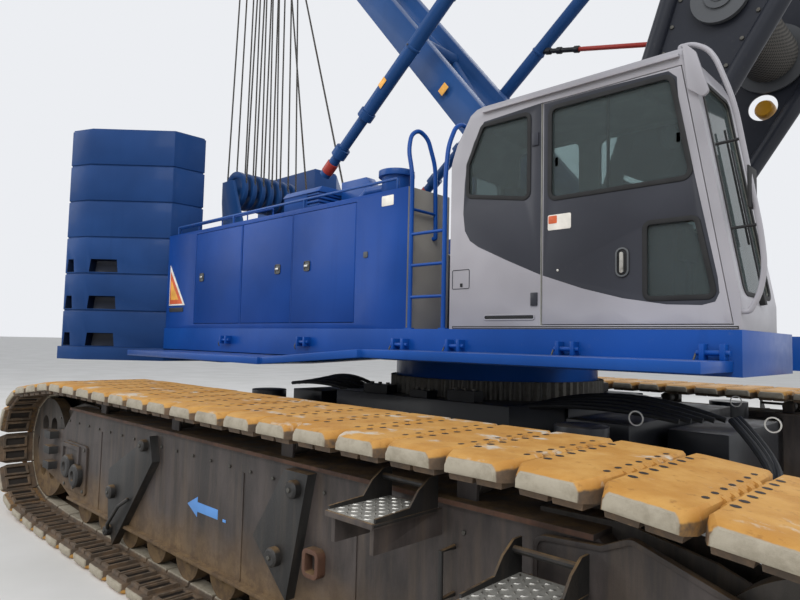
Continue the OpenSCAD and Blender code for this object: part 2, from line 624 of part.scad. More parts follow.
module cab_door() {
    z0 = cab_door_z0 + clear;
    z1 = cab_door_z1 - clear;
    color([0.24, 0.25, 0.28]) difference() {
        union() {
            side_plate(-cab_y, -cab_y + cab_leaf_t) difference() {
                door_outline(clear);
                translate([door_x, z0 - 1]) square([clear + cab_leaf_t / 2, z1 - z0 + 2]);
                door_windows(0);
            }
            translate([cab_pivot_x, cab_pivot_y, z0]) cylinder(r = cab_leaf_t / 2, h = z1 - z0);
        }
        pivot_bores(cab_pivot_x, cab_pivot_y, z0, z1);
    }
}
module cab_door_glass() {
    color([0.45, 0.55, 0.55, 0.4]) side_plate(-cab_y + 18, -cab_y + 26) door_windows(running);
}
module cab_glass() {
    color([0.45, 0.55, 0.55, 0.4]) {
        side_plate(-cab_y + 18, -cab_y + 26) rear_window(running);
        side_plate(-cab_in_y - 26, -cab_in_y - 18) {
            rounded(830 + running, 3140 + running, 1450 - running, 3790 - running, 70);
            rounded(1640 + running, 2900 + running, 2560 - running, 3770 - running, 70);
        }
        // Windscreen, leaning with the front pillars
        intersection() {
            translate([2400, 0, 0]) rotate([90, 0, 90]) linear_extrude(700) front_window(running);
            difference() {
                side_plate(-cab_y, -cab_in_y) cab_outline(18);
                side_plate(-cab_y - cut, -cab_in_y + cut) cab_outline(26);
            }
        }
        translate([cab_rear_x + 18, 0, 0]) rotate([90, 0, 90]) linear_extrude(8)
            rounded(-cab_y + 150 + running, 2950 + running, -cab_in_y - 150 - running, 3500 - running, 60);
    }
}
module cab_seat() {
    floor_z = deck_z1 + cab_t;
    color([0.15, 0.15, 0.16]) {
        translate([1450, -1190, floor_z]) cylinder(r = 120, h = 330);
        block(1180, 1720, -1420, -960, floor_z + 330, floor_z + 470);
        side_plate(-1400, -980) polygon([[1180, floor_z + 470], [1330, floor_z + 470], [1180, floor_z + 1150], [1060, floor_z + 1150]]);
        for (y = [-1500, -960]) block(1300, 1850, y, y + 80, floor_z + 330, floor_z + 640);
        block(2250, 2450, -1350, -970, floor_z, floor_z + 750);
    }
}
// Rail before the windscreen, in X and Z, from the roof down to the cab's front
cab_rail = [[cab_brow_x - 80, cab_top_z], [cab_brow_x - 80, cab_top_z + 23], [cab_brow_x, cab_top_z + 18],
    [cab_brow_x + 90, cab_top_z - 40], [cab_brow_x + 142, cab_top_z - 125], [cab_brow_x + 246, cab_top_z - 432],
    [cab_front_x + 110, 2714], [cab_front_x + 128, 2500], [cab_front_x + 100, 2340],
    [cab_front_x + 45, 2232], [cab_front_x, 2232]];
module cab_fittings() {
    color([0.62, 0.61, 0.63]) {
        // Roof gutter, visor fin, and the rail before the windscreen
        side_plate(-cab_y - 28, -cab_y) polygon([[cab_rear_x + 350, cab_top_z - 60], [cab_brow_x - 75, cab_top_z - 60],
            [cab_brow_x - 75, cab_top_z - 38], [cab_rear_x + 350, cab_top_z - 38]]);
        side_plate(-cab_y - 25, -cab_y) translate([cab_brow_x, cab_top_z]) polygon([[-50, 0], [-38, 20], [32, -58],
            [78, -218], [112, -341], [75, -370], [-18, -293]]);
        bent_rail([for (p = cab_rail) [p[0], -cab_y + 25, p[1]]], 16);
    }
}

// Mast and boom, drawn upright along Z from the foot shaft, then leant
module at_foot(lean) { translate([foot_x, 0, foot_z]) rotate([0, lean, 0]) children(); }
mast_lean = mast_deg - 90;
boom_lean = 90 - boom_deg;
module mast() {
    color([0.17, 0.32, 0.56]) at_foot(mast_lean) {
        for (s = [-1, 1]) {
            y0 = s < 0 ? -mast_out_y : mast_in_y;
            difference() {
                side_plate(y0, y0 + mast_out_y - mast_in_y) union() {
                    circle(r = 165);
                    polygon([[-90, -120], [90, -120], [mast_d / 2, 700], [mast_d / 2, mast_l - 700],
                        [110, mast_l - 120], [-110, mast_l - 120], [-mast_d / 2, mast_l - 700], [-mast_d / 2, 700]]);
                }
                cyl_y(foot_r + running, -900, 900);
            }
        }
        bay = (mast_l - 2300) / 3;
        for (i = [0 : 3]) translate([0, 0, 1500 + i * bay]) cyl_y(95, -mast_in_y - 1, mast_in_y + 1);
        for (i = [0 : 2], s = [-1, 1])
            tube_between([0, -s * mast_in_y, 1500 + i * bay], [0, s * mast_in_y, 1500 + (i + 1) * bay], 45);
    }
}
module sheave(r, half_w) {
    difference() {
        cyl_y(r, -half_w, half_w);
        for (s = [-1, 1]) cyl_y(r * 0.7, s < 0 ? -half_w - 1 : half_w * 0.5, s < 0 ? -half_w * 0.5 : half_w + 1);
    }
}
module mast_head() {
    color([0.20, 0.22, 0.25]) at_foot(mast_lean) translate([0, 0, mast_l]) {
        cyl_y(link_pin_r, -link_y - 30, link_y + 30);
        for (i = [-3 : 3]) translate([0, i * 110, 0]) sheave(280, 30);
        for (s = [-1, 1]) side_plate(s * 500 - 40, s * 500 + 40) polygon([[-100, -120 + running], [100, -120 + running], [140, 120], [-140, 120]]);
    }
}
// Half width of the boom at height z along it
foot_half_w = (boom_lug_out + boom_lug_in) / 2;
function half_w(z) = z >= base_l ? boom_half_w : foot_half_w + (boom_half_w - foot_half_w) * z / base_l;
base_knee = 5580;
foot_half_d = 138;
function half_d(z) = z >= base_knee ? boom_half_d : foot_half_d + (boom_half_d - foot_half_d) * z / base_knee;
// Lacing between z0 and z1 in count panels; each tube ends inside its chord, beside its neighbour
module panel_lacing(z0, z1, count) {
    pitch = (z1 - z0) / count;
    for (i = [0 : count - 1], s = [-1, 1]) {
        za = z0 + i * pitch + lace_step;
        zb = z0 + (i + 1) * pitch - lace_step;
        k = i % 2 == 0 ? 1 : -1;
        tube_between([-k * (half_d(za) - lace_in), s * half_w(za), za],
            [k * (half_d(zb) - lace_in), s * half_w(zb), zb], lace_r);
        tube_between([s * half_d(za), -k * (half_w(za) - lace_in), za],
            [s * half_d(zb), k * (half_w(zb) - lace_in), zb], lace_r);
    }
}
lace_step = 110;
lace_in = 45;
plate_z0 = 900;
plate_z1 = 4100;
plate_front_z = 3350;
stop_pipe_r = 70;
module chord_knee(k, s) { translate([k * boom_half_d, s * half_w(base_knee), base_knee]) sphere(r = chord_r + 8, $fn = 32); }
module boom_base() {
    color([0.14, 0.15, 0.18]) at_foot(boom_lean) {
        difference() {
            for (s = [-1, 1]) {
                y0 = s < 0 ? -boom_lug_out : boom_lug_in;
                side_plate(y0, y0 + boom_lug_out - boom_lug_in) {
                    circle(r = 170);
                    polygon([[-150, 0], [150, 0], [half_d(700) + 60, 700], [-half_d(700) - 60, 700]]);
                }
            }
            cyl_y(foot_r + running, -900, 900);
        }
        for (s = [-1, 1]) {
            for (k = [-1, 1]) {
                tube_between([k * half_d(600), s * half_w(600), 600],
                    [k * half_d(base_knee), s * half_w(base_knee), base_knee], chord_r);
                tube_between([k * boom_half_d, s * half_w(base_knee), base_knee],
                    [k * boom_half_d, s * half_w(base_l - 30), base_l - 30], chord_r);
                chord_knee(k, s);
                translate([k * boom_half_d, s * boom_half_w, base_l - 170]) cylinder(r = chord_r + 18, h = 170);
            }
            // Side plate between the chords, with its round hole
            lean = atan2(half_w(plate_z1) - half_w(plate_z0), plate_z1 - plate_z0);
            difference() {
                translate([0, s * half_w(plate_z0), plate_z0]) rotate([-s * lean, 0, 0]) side_plate(-10, 10) difference() {
                    polygon([[-half_d(plate_z0), 0], [half_d(plate_z0), 0],
                        [half_d(plate_front_z), plate_front_z - plate_z0], [-half_d(plate_z1), plate_z1 - plate_z0]]);
                    if (s > 0) translate([130, 1950 - plate_z0]) circle(r = 125);
                }
                translate([0, 0, drum_at]) cyl_y(drum_shaft_r + running, -900, 900);
            }
        }
        panel_lacing(plate_z1 + 100, base_l, 2);
        for (z = [820, plate_z1, base_l - chord_r], k = [-1, 1])
            tube_between([k * half_d(z), -half_w(z) + lace_in, z], [k * half_d(z), half_w(z) - lace_in, z], 50);
        // Cross pipe with the backstops' ears
        translate([-half_d(stop_z), 0, stop_z]) cyl_y(stop_pipe_r, -stop_y - 40, stop_y + 40);
        for (s = [-1, 1], e = [-1, 1]) side_plate(s * stop_y + (e < 0 ? -50 : stop_eye_w + running),
            s * stop_y + (e < 0 ? -stop_eye_w - running : 50)) polygon([
            [-half_d(stop_z), stop_z - 62], [-half_d(stop_z) - stop_back - 60, stop_z - 55],
            [-half_d(stop_z) - stop_back - 60, stop_z + 55], [-half_d(stop_z), stop_z + 62]]);
    }
}
drum_at = 2380;
drum_shaft_r = 60;
drum_rim_r = 320;
end_disc_r = 215;
module boom_drum() {
    color([0.20, 0.20, 0.22]) at_foot(boom_lean) translate([0, 0, drum_at]) {
        reach = half_w(drum_at - drum_rim_r - 20) - 10 - clear;
        disc_y = half_w(drum_at + end_disc_r) + 10 + clear;
        cyl_y(190, -reach, reach);
        for (s = [-1, 1]) cyl_y(drum_rim_r, s < 0 ? -reach : reach - 30, s < 0 ? -reach + 30 : reach);
        cyl_y(drum_shaft_r, -disc_y - 70, disc_y + 30);
        // End discs outside the side plates, the left-hand one with its cap
        cyl_y(end_disc_r, -disc_y - 45, -disc_y);
        cyl_y(110, -disc_y - 62, -disc_y - 44);
        cyl_y(150, disc_y, disc_y + 24);
        cyl_y(75, disc_y + 23, disc_y + 60);
    }
}
module boom_tip() {
    color([0.14, 0.15, 0.18]) at_foot(boom_lean) translate([0, 0, base_l]) {
        taper_z = tip_l - 2600;
        for (s = [-1, 1], k = [-1, 1]) {
            tube_between([k * boom_half_d, s * boom_half_w, 0], [k * boom_half_d, s * boom_half_w, taper_z], chord_r);
            tube_between([k * boom_half_d, s * boom_half_w, taper_z],
                [k * head_half_d, s * head_half_w, tip_l - 440], chord_r, 180);
            translate([k * boom_half_d, s * boom_half_w, taper_z]) sphere(r = chord_r + 8, $fn = 32);
        }
        translate([0, 0, -base_l]) panel_lacing(base_l + 120, base_l + taper_z - 240, 3);
        for (z = [chord_r, taper_z - 190], k = [-1, 1])
            tube_between([k * boom_half_d, -boom_half_w + lace_in, z], [k * boom_half_d, boom_half_w - lace_in, z], 50);
        for (s = [-1, 1]) side_plate(s * head_half_w - 30, s * head_half_w + 30) difference() {
            polygon([[-head_half_d - 110, tip_l - 800], [head_half_d + 110, tip_l - 800],
                [head_half_d + 160, tip_l - 60], [60, tip_l + 140], [-head_half_d - 110, tip_l - 60]]);
            for (p = head_sheaves) translate([p[0], p[1] - base_l]) circle(r = 55 + running);
        }
        for (s = [-1, 1]) translate([-head_half_d + 40, 0, tip_l - 300])
            cyl_y(link_pin_r, s < 0 ? -link_y - 30 : head_half_w + 20, s < 0 ? -head_half_w - 20 : link_y + 30);
    }
}
head_half_d = 330;
head_half_w = 480;
head_z = base_l + tip_l;
// Head sheave shafts as [across the boom, along the boom]
head_sheaves = [[230, head_z - 160], [-150, head_z - 330]];
module boom_head() {
    color([0.30, 0.30, 0.32]) at_foot(boom_lean) for (p = head_sheaves) translate([p[0], 0, p[1]]) {
        cyl_y(55, -head_half_w - 30, head_half_w + 30);
        for (i = [-2 : 2]) translate([0, i * 130, 0]) sheave(p[0] > 0 ? head_sheave_r : 100, 32);
    }
}
// Points in the X and Z plane: z along the mast or boom, x across it towards the front
function on_mast(z, x = 0) = [foot_x + z * sin(mast_lean) + x * cos(mast_lean), foot_z + z * cos(mast_lean) - x * sin(mast_lean)];
function on_boom(z, x = 0) = [foot_x + z * sin(boom_lean) + x * cos(boom_lean), foot_z + z * cos(boom_lean) - x * sin(boom_lean)];
function at_y(p, y) = [p[0], y, p[1]];
stop_eye_w = 29;
stop_z = base_knee - 180;
stop_back = 453;
rod_z = 2500;
stop_tip = [-1990, 4060];
module backstops() {
    stop_top = on_boom(stop_z, -half_d(stop_z) - stop_back);
    rod_end = on_boom(rod_z, -half_d(rod_z) - chord_r - 7);
    for (s = [-1, 1]) {
        tip = at_y(stop_tip, s * stop_y);
        top = at_y(stop_top, s * stop_y);
        red = tip + (top - tip) * 0.02;
        mid = tip + (top - tip) * 0.15;
        color([0.17, 0.34, 0.62]) {
            tube_between(tip, red, 70);
            tube_between(red, mid, 62);
            tube_between(mid, top - (top - tip) * 0.025, 80);
            tube_between(mid, top, 27);
            translate([top[0], 0, top[2]]) cyl_y(85, s * stop_y - stop_eye_w, s * stop_y + stop_eye_w);
            // Collars, and the rod that holds the backstop off the boom
            tube_between(tip + (top - tip) * 0.05, tip + (top - tip) * 0.07, 92);
            tube_between(tip + (top - tip) * 0.145, tip + (top - tip) * 0.16, 96);
            tube_between(tip + (top - tip) * 0.41, at_y(rod_end, s * half_w(rod_z)), 22);
        }
    }
}
link_y = 650;
link_pin_r = 60;
link_eye_r = 115;
module pendants() {
    a = on_mast(mast_l);
    b = on_boom(head_z - 300, -head_half_d + 40);
    d = (b - a) / norm(b - a);
    color([0.30, 0.31, 0.33]) for (s = [-1, 1]) difference() {
        union() {
            tube_between(at_y(a + d * 100, s * link_y), at_y(b - d * 100, s * link_y), 22);
            for (p = [a, b]) translate([p[0], 0, p[1]]) cyl_y(link_eye_r, s * link_y - 25, s * link_y + 25);
        }
        for (p = [a, b]) translate([p[0], 0, p[1]]) cyl_y(link_pin_r + running, s * link_y - 40, s * link_y + 40);
    }
}
// Hook block on short falls from the front head sheaves, hanging straight down
head_sheave_r = 250;
fall_r = 11;
hook_drop = 1050;
module at_hook() { translate([on_boom(head_sheaves[0][1], head_sheaves[0][0])[0], 0,
    on_boom(head_sheaves[0][1], head_sheaves[0][0])[1]]) children(); }
module hook_block() {
    color([0.75, 0.55, 0.12]) at_hook() translate([0, 0, -hook_drop]) {
        for (s = [-1, 1]) side_plate(s * 110 - 14, s * 110 + 14) rounded(-300, -320, 300, 320, 150);
        cyl_y(50, -150, 150);
        cyl_y(head_sheave_r, -60, 60);
        block(-90, 90, -124, 124, -420, -300);
        translate([0, 0, -600]) cylinder(r = 50, h = 200);
        // Hook in profile, open at the front
        translate([0, 0, -760]) side_plate(-55, 55) difference() {
            union() {
                circle(r = 210);
                translate([-50, 100]) square([100, 160]);
            }
            circle(r = 95);
            polygon([[30, 40], [260, -20], [260, 200], [60, 200]]);
        }
    }
}
module hook_falls() {
    color([0.25, 0.25, 0.26]) at_hook() for (s = [-1, 1], y = [-25, 25])
        translate([s * (head_sheave_r + running + fall_r), y, -hook_drop]) cylinder(r = fall_r, h = hook_drop);
}

carbody();
cross_beam(1);  // cross_beam_front
cross_beam(-1);  // cross_beam_rear
swing_ring();
side_frame(-1);  // side_frame_right
side_frame(1);  // side_frame_left
track(-1);  // track_right
track(1);  // track_left
drive_wheel(-1);  // drive_wheel_right
drive_wheel(1);  // drive_wheel_left
idler(-1);  // idler_right
idler(1);  // idler_left
rollers(-1);  // rollers_right
rollers(1);  // rollers_left
revolving_frame();
winch_stands();
drum(0);  // drum_front
drum(1);  // drum_middle
drum(2);  // drum_rear
gantry();
house(-1, right_doors);  // house_right
house(1, left_doors);  // house_left
engine();
house_door(-1, right_doors[0]);  // door_rear_right
house_door(-1, right_doors[1]);  // door_middle_right
house_door(-1, right_doors[2]);  // door_front_right
house_door(1, left_doors[0]);  // door_rear_left
house_door(1, left_doors[1]);  // door_front_left
roof_fittings();
counterweight_tray();
counterweight(-1);  // counterweight_right
counterweight(1);  // counterweight_left
catwalk(-1);  // catwalk_right
catwalk(1);  // catwalk_left
ladders();
cab_shell();
cab_door();
cab_glass();
cab_door_glass();
cab_seat();
cab_fittings();
mast();
mast_head();
boom_base();
boom_drum();
boom_tip();
boom_head();
backstops();
pendants();
hook_block();
hook_falls();
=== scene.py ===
"""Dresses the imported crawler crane: finishes, worn detail, ropes, floor, light and the camera of the photograph."""
import math
import random

import bmesh
import bpy
from mathutils import Matrix, Vector


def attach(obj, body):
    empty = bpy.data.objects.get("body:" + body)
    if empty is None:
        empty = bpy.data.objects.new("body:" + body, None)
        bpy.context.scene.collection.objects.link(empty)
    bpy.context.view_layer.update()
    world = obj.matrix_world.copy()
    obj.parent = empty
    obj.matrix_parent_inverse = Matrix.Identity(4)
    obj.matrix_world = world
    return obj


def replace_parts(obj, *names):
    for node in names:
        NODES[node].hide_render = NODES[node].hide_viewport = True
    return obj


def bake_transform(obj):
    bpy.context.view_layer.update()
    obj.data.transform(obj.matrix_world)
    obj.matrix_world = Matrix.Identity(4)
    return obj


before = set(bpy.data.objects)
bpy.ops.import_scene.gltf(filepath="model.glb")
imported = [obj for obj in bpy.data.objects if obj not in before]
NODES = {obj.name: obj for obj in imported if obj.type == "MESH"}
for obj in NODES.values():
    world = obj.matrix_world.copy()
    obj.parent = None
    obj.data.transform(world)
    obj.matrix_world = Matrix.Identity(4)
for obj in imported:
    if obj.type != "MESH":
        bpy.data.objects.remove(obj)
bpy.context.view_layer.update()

rng = random.Random(7)

# Sizes shared with the solids, in metres
TRACK_Y = 3.13
FRAME_Y = TRACK_Y + 0.24        # outer face of a side frame
HOUSE_Y = 1.6
CAB_Y = 1.62
DECK_Y = 1.62
DECK_TOP = 2.12
CARBODY_TOP = 1.475
CARBODY_WALL = 1.362            # where its pipes run
FOOT = Vector((1.532, 0.0, 2.588))
BOOM_LEAN = math.radians(26.5)
MAST_LEAN = math.radians(-39.5)
MAST_L = 9.8
SHEAVES = Vector((-4.7, 0.0, 4.35))
BASE_L = 7.6
TIP_L = 7.6
BOOM_HALF_D = 0.8
BOOM_HALF_W = 0.9
FOOT_HALF_W = 0.642
FOOT_HALF_D = 0.138
BASE_KNEE = 5.58
WINCHES = {"drum_front": -0.5, "drum_middle": -1.65, "drum_rear": -2.8}     # X of each drum's axis
WINCH_Z = 2.6
WINCH_R = 0.29
ROPE_R = 0.013


# Finishes
def linear(code, times=1.0, lift=0.0):
    """An sRGB code such as 12468c as linear red, green, blue and alpha, made darker or paler."""
    parts = [int(code[i:i + 2], 16) / 255 for i in (0, 2, 4)]
    parts = [c / 12.92 if c <= 0.04045 else ((c + 0.055) / 1.055) ** 2.4 for c in parts]
    return [min(1, c * times + lift) for c in parts] + [1.0]


class Finish:
    """A material's node tree, built a node at a time."""

    def __init__(self, name):
        self.material = bpy.data.materials.new(name)
        self.material.use_nodes = True
        self.tree = self.material.node_tree
        self.tree.nodes.clear()
        self.shader = self.node("BsdfPrincipled")
        self.put(self.node("OutputMaterial").inputs[0], self.shader.outputs[0])

    def put(self, socket, value):
        """Links a socket to another's output, or sets its value; a string is a colour code."""
        if hasattr(value, "is_output"):
            self.tree.links.new(value, socket)
        else:
            socket.default_value = linear(value) if isinstance(value, str) else value

    def node(self, kind, **inputs):
        """A new node, with some of its inputs set by name."""
        made = self.tree.nodes.new("ShaderNode" + kind)
        for key, value in inputs.items():
            self.put(made.inputs[key], value)
        return made

    def coords(self, stretch=(1, 1, 1)):
        return self.node("Mapping", Vector=self.node("TexCoord").outputs["Object"], Scale=stretch).outputs[0]

    def noise(self, scale, detail=4.0, rough=0.55, stretch=(1, 1, 1), warp=0.0):
        return self.node("TexNoise", Scale=scale, Detail=detail, Roughness=rough, Distortion=warp,
                         Vector=self.coords(stretch)).outputs[0]

    def ramp(self, value, low, high):
        """0 below low and 1 above high."""
        node = self.node("MapRange", Value=value, **{"From Min": low, "From Max": high})
        node.interpolation_type = "SMOOTHSTEP"
        return node.outputs[0]

    def spots(self, low, high, *noise, **more):
        """Noise that is 0 below low and 1 above high."""
        return self.ramp(self.noise(*noise, **more), low, high)

    def math(self, kind, a, b):
        node = self.node("Math")
        node.operation = kind
        self.put(node.inputs[0], a)
        self.put(node.inputs[1], b)
        return node.outputs[0]

    def times(self, a, b):
        return self.math("MULTIPLY", a, b)

    def plus(self, a, b):
        return self.math("ADD", a, b)

    def mix(self, a, b, share):
        node = self.node("Mix")
        node.data_type = "RGBA"
        for socket, value in (("Factor", share), (6, a), (7, b)):
            self.put(node.inputs[socket], value)
        return node.outputs[2]

    def z_of(self, vector):
        parts = self.node("SeparateXYZ")
        self.put(parts.inputs[0], vector)
        return parts.outputs[2]

    def up(self):
        """How far the surface faces up: 1 on a level top."""
        return self.z_of(self.node("NewGeometry").outputs["Normal"])

    def height(self):
        return self.z_of(self.coords())

    def paint_layer(self, name):
        node, parts = self.node("Attribute"), self.node("SeparateColor")
        node.attribute_name = name
        self.put(parts.inputs[0], node.outputs["Color"])
        return parts.outputs

    def bump(self, height, strength=0.3, depth=0.002):
        node = self.node("Bump", Strength=strength, Distance=depth, Height=height)
        self.put(self.shader.inputs["Normal"], node.outputs[0])
        return self.material

    def set(self, **sockets):
        names = {"colour": "Base Color", "rough": "Roughness", "metal": "Metallic", "coat": "Coat Weight",
                 "coat_rough": "Coat Roughness", "ior": "IOR", "spec": "Specular IOR Level",
                 "glass": "Transmission Weight"}
        for key, value in sockets.items():
            self.put(self.shader.inputs[names[key]], value)


def enamel(name, colour, rough=0.32, dust=0.35, dust_colour="9a9484", streaks=0.25, coat=0.06, grain=0.0,
           worn=0.0, spec=0.25):
    """Paint on steel: broad tone, vertical streaks, dust on what faces up, and chips down to primer."""
    f = Finish(name)
    dark = linear(colour, 0.72)
    tone = f.mix(dark, linear(colour, 1.12, 0.006), f.spots(0.25, 0.75, 0.7, 3))
    tone = f.mix(tone, dark, f.times(f.spots(0.52, 0.78, 1.0, 5, 0.6, stretch=(9, 9, 0.6)), streaks))
    film = f.times(f.times(f.ramp(f.up(), 0.35, 0.95), f.spots(0.3, 0.72, 5.0, 6, 0.65)), dust)
    cover = f.math("MAXIMUM", film, f.times(f.spots(0.62, 0.8, 30, 4, 0.6), dust * 0.25))
    tone = f.mix(tone, dust_colour, cover)
    if worn:
        tone = f.mix(tone, "4a3a30", f.times(f.spots(0.66, 0.7, 11, 8, 0.7), worn))
    gloss = f.plus(f.times(f.noise(14, 5), 0.18), rough - 0.09)
    f.set(colour=tone, rough=f.plus(gloss, f.times(cover, 0.45)), coat=coat, coat_rough=0.12, spec=spec)
    return f.bump(f.noise(220 if grain else 3.0, 3), 0.25 if grain else 0.12, grain or 0.004)


def muddy_steel(name, colour, mud_top=0.75, streaks=0.6, rough=0.62):
    """Dark painted plate with dried mud that thickens towards the ground."""
    f = Finish(name)
    tone = f.mix(linear(colour, 0.55), linear(colour, 1.5), f.spots(0.3, 0.7, 2.2, 6, 0.65, stretch=(3, 3, 0.7)))
    runs = f.spots(0.45, 0.75, 1.0, 6, 0.65, stretch=(11, 11, 0.8))
    tone = f.mix(tone, "6b5a48", f.times(runs, streaks * 0.55))
    splash = f.ramp(f.plus(f.math("SUBTRACT", mud_top, f.height()), f.times(f.noise(4.5, 6, 0.6), 0.5)), 0.25, 0.75)
    ledge = f.times(f.ramp(f.up(), 0.5, 0.95), f.spots(0.3, 0.6, 7, 6, 0.6))
    cover = f.math("MAXIMUM", splash, ledge)
    clod = f.mix("7b6240", "5a4630", f.spots(0.35, 0.65, 9, 7, 0.7))
    f.set(colour=f.mix(tone, clod, f.times(cover, 0.85)), rough=f.plus(f.times(cover, 0.3), rough))
    return f.bump(f.plus(f.noise(45, 6, 0.65), f.times(cover, 0.6)), 0.4, 0.004)


def cast_shoe():
    """Cast shoes: ochre clay on the outer face with pale scuffs, pale worn ends, and near-black painted shade in the
    slots between knuckles and on the pocket bottoms.

    The layer holds clay in red, worn end in green and painted shade in blue."""
    f = Finish("shoe_steel")
    clay_at, end_at, painted_shade_at = f.paint_layer("wear_and_shade")[:3]
    clay = f.mix("b37f35", "c4944c", f.spots(0.35, 0.68, 5, 6, 0.6))
    clay = f.mix(clay, "8f6128", f.spots(0.55, 0.75, 17, 7, 0.68))
    scuff = f.spots(0.57, 0.66, 3.3, 7, 0.62, stretch=(1, 1.3, 1), warp=0.15)
    clay = f.mix(clay, "c2bdb0", f.times(scuff, 0.85))
    bare = f.mix("4c4034", "6a5540", f.spots(0.35, 0.7, 8, 6, 0.65))
    end = f.mix("a39a88", "8c8371", f.spots(0.4, 0.7, 10, 7, 0.7))
    ragged = f.times(f.noise(26, 5, 0.6), 0.35)
    tone = bare
    # Layers in turn: clay, worn ends, and last the near-black painted shade of the slots and pocket bottoms
    for layer, at, low, high in ((clay, clay_at, 0.45, 0.75), (end, end_at, 0.5, 0.8),
                                 ("241d17", painted_shade_at, 0.55, 0.85)):
        tone = f.mix(tone, layer, f.ramp(f.plus(at, ragged), low, high))
    f.set(colour=tone, rough=f.plus(f.times(f.noise(12, 4), 0.2), 0.62))
    return f.bump(f.noise(38, 8, 0.7), 0.5, 0.005)


def plain_metal(name, colour, rough=0.35, metal=0.9, grime=0.4):
    f = Finish(name)
    tone = f.mix(colour, "3a332b", f.times(f.spots(0.5, 0.75, 25, 6, 0.6), grime))
    f.set(colour=tone, metal=metal, rough=f.plus(f.times(f.noise(40, 4), 0.2), rough))
    return f.bump(f.noise(120, 4), 0.2, 0.001)


def soft_plastic(name, colour, rough=0.6, scale=90):
    f = Finish(name)
    f.set(colour=f.mix(colour, linear(colour, 1.35, 0.004), f.spots(0.35, 0.7, 6, 5)),
          rough=f.plus(f.times(f.noise(15, 4), 0.15), rough - 0.05))
    return f.bump(f.noise(scale, 3), 0.3, 0.0008)


def window_glass():
    f = Finish("window_glass")
    smear = f.times(f.spots(0.5, 0.85, 2.2, 6, 0.6), 0.05)
    f.set(colour="8d9a9b", rough=f.plus(smear, 0.02), glass=0.86, ior=1.2)
    return f.material


def wire_rope():
    """Greased wire rope: strands that wind round it show as slanting bands."""
    f = Finish("wire_rope")
    wave = f.node("TexWave", Scale=14, Distortion=0.4, Vector=f.coords())
    wave.wave_type, wave.bands_direction = "BANDS", "DIAGONAL"
    tone = f.mix("2c2b2a", "67645f", f.times(wave.outputs[1], 0.7))
    tone = f.mix(tone, "3a2e22", f.spots(0.55, 0.75, 2.0, 5))
    f.set(colour=tone, rough=0.6, metal=0.2, spec=0.2)
    return f.bump(wave.outputs[1], 0.5, 0.002)


def floor_finish():
    f = Finish("studio_floor")
    f.set(colour=f.mix("d9d7d3", "cfcdc8", f.spots(0.3, 0.7, 0.6, 4)), rough=0.85)
    return f.bump(f.noise(14, 5), 0.08, 0.003)


PAINT = {
    "house": enamel("house_blue", "063f8c", rough=0.42, dust=0.14, streaks=0.35, spec=0.13, coat=0.02),
    "deck": enamel("deck_blue", "084898", dust=0.3, worn=0.12, spec=0.18),
    "weight": enamel("weight_blue", "173f76", rough=0.5, dust=0.22, spec=0.13, streaks=0.45, grain=0.0012),
    "mast": enamel("mast_blue", "1a4479", rough=0.45, dust=0.18, spec=0.13),
    "roof": enamel("roof_blue", "124a92", rough=0.4, dust=0.45),
    "cab": enamel("cab_grey", "a3a1a6", rough=0.34, dust=0.12, dust_colour="8d877a", streaks=0.1),
    "band": enamel("cab_band_grey", "2e3038", rough=0.4, dust=0.1, streaks=0.1),
    "panel": enamel("panel_grey", "a09b91", rough=0.5, dust=0.2),
    "boom": enamel("boom_black", "22252e", rough=0.4, dust=0.3, worn=0.1),
    "carbody": enamel("carbody_black", "15171c", rough=0.34, dust=0.55, dust_colour="5e564a", worn=0.05),
    "engine": enamel("engine_grey", "4a4c4e", rough=0.5),
    "yellow": enamel("hook_yellow", "c08a1c", rough=0.42, dust=0.3, worn=0.3),
    "red": enamel("safety_red", "9c3026", rough=0.42, dust=0.2, worn=0.25),
    "drum": enamel("winch_grey", "55575a", rough=0.45, dust=0.4, worn=0.2),
    "frame": muddy_steel("frame_steel", "3a3330"),
    "black_plate": muddy_steel("bracket_black", "1b1a19", mud_top=0.35, streaks=0.25, rough=0.55),
    "rust": muddy_steel("rusty_edge", "4c3224", mud_top=0.4, streaks=0.4, rough=0.75),
    "wheel": muddy_steel("wheel_steel", "3d3833", mud_top=0.9),
    "shoe": cast_shoe(),
    "rope": wire_rope(),
    "zinc": plain_metal("galvanised", "a5a39c", rough=0.45, metal=0.6, grime=0.5),
    "steel": plain_metal("bright_steel", "b9b7b1", rough=0.28, metal=1.0, grime=0.3),
    "iron": plain_metal("dark_iron", "5b5954", rough=0.5, metal=0.7, grime=0.6),
    "rubber": soft_plastic("black_rubber", "08090b", rough=0.7),
    "vinyl": soft_plastic("black_vinyl", "1b1c1f", rough=0.6, scale=160),
    "trim": soft_plastic("grey_trim", "4b4e50", rough=0.55),
    "lining": soft_plastic("headlining", "9a9a92", rough=0.8, scale=300),
    "glass": window_glass(),
    "orange": soft_plastic("orange_mark", "c4572a", rough=0.4),
    "amber": soft_plastic("amber_mark", "d99c3c", rough=0.45),
    "label": soft_plastic("blank_label", "d6d2c8", rough=0.45),
    "arrow": enamel("arrow_blue", "5b8fce", rough=0.5, dust=0.3, worn=0.2),
    # Near-black blue for the fork pockets' walls: painted shade in the recesses, not the weights' own paint
    "shaded_pocket": enamel("pocket_shade_blue", "0c1a33", dust=0.02, streaks=0.05),
}


def both(*names):
    return [name + side for name in names for side in ("_right", "_left")]


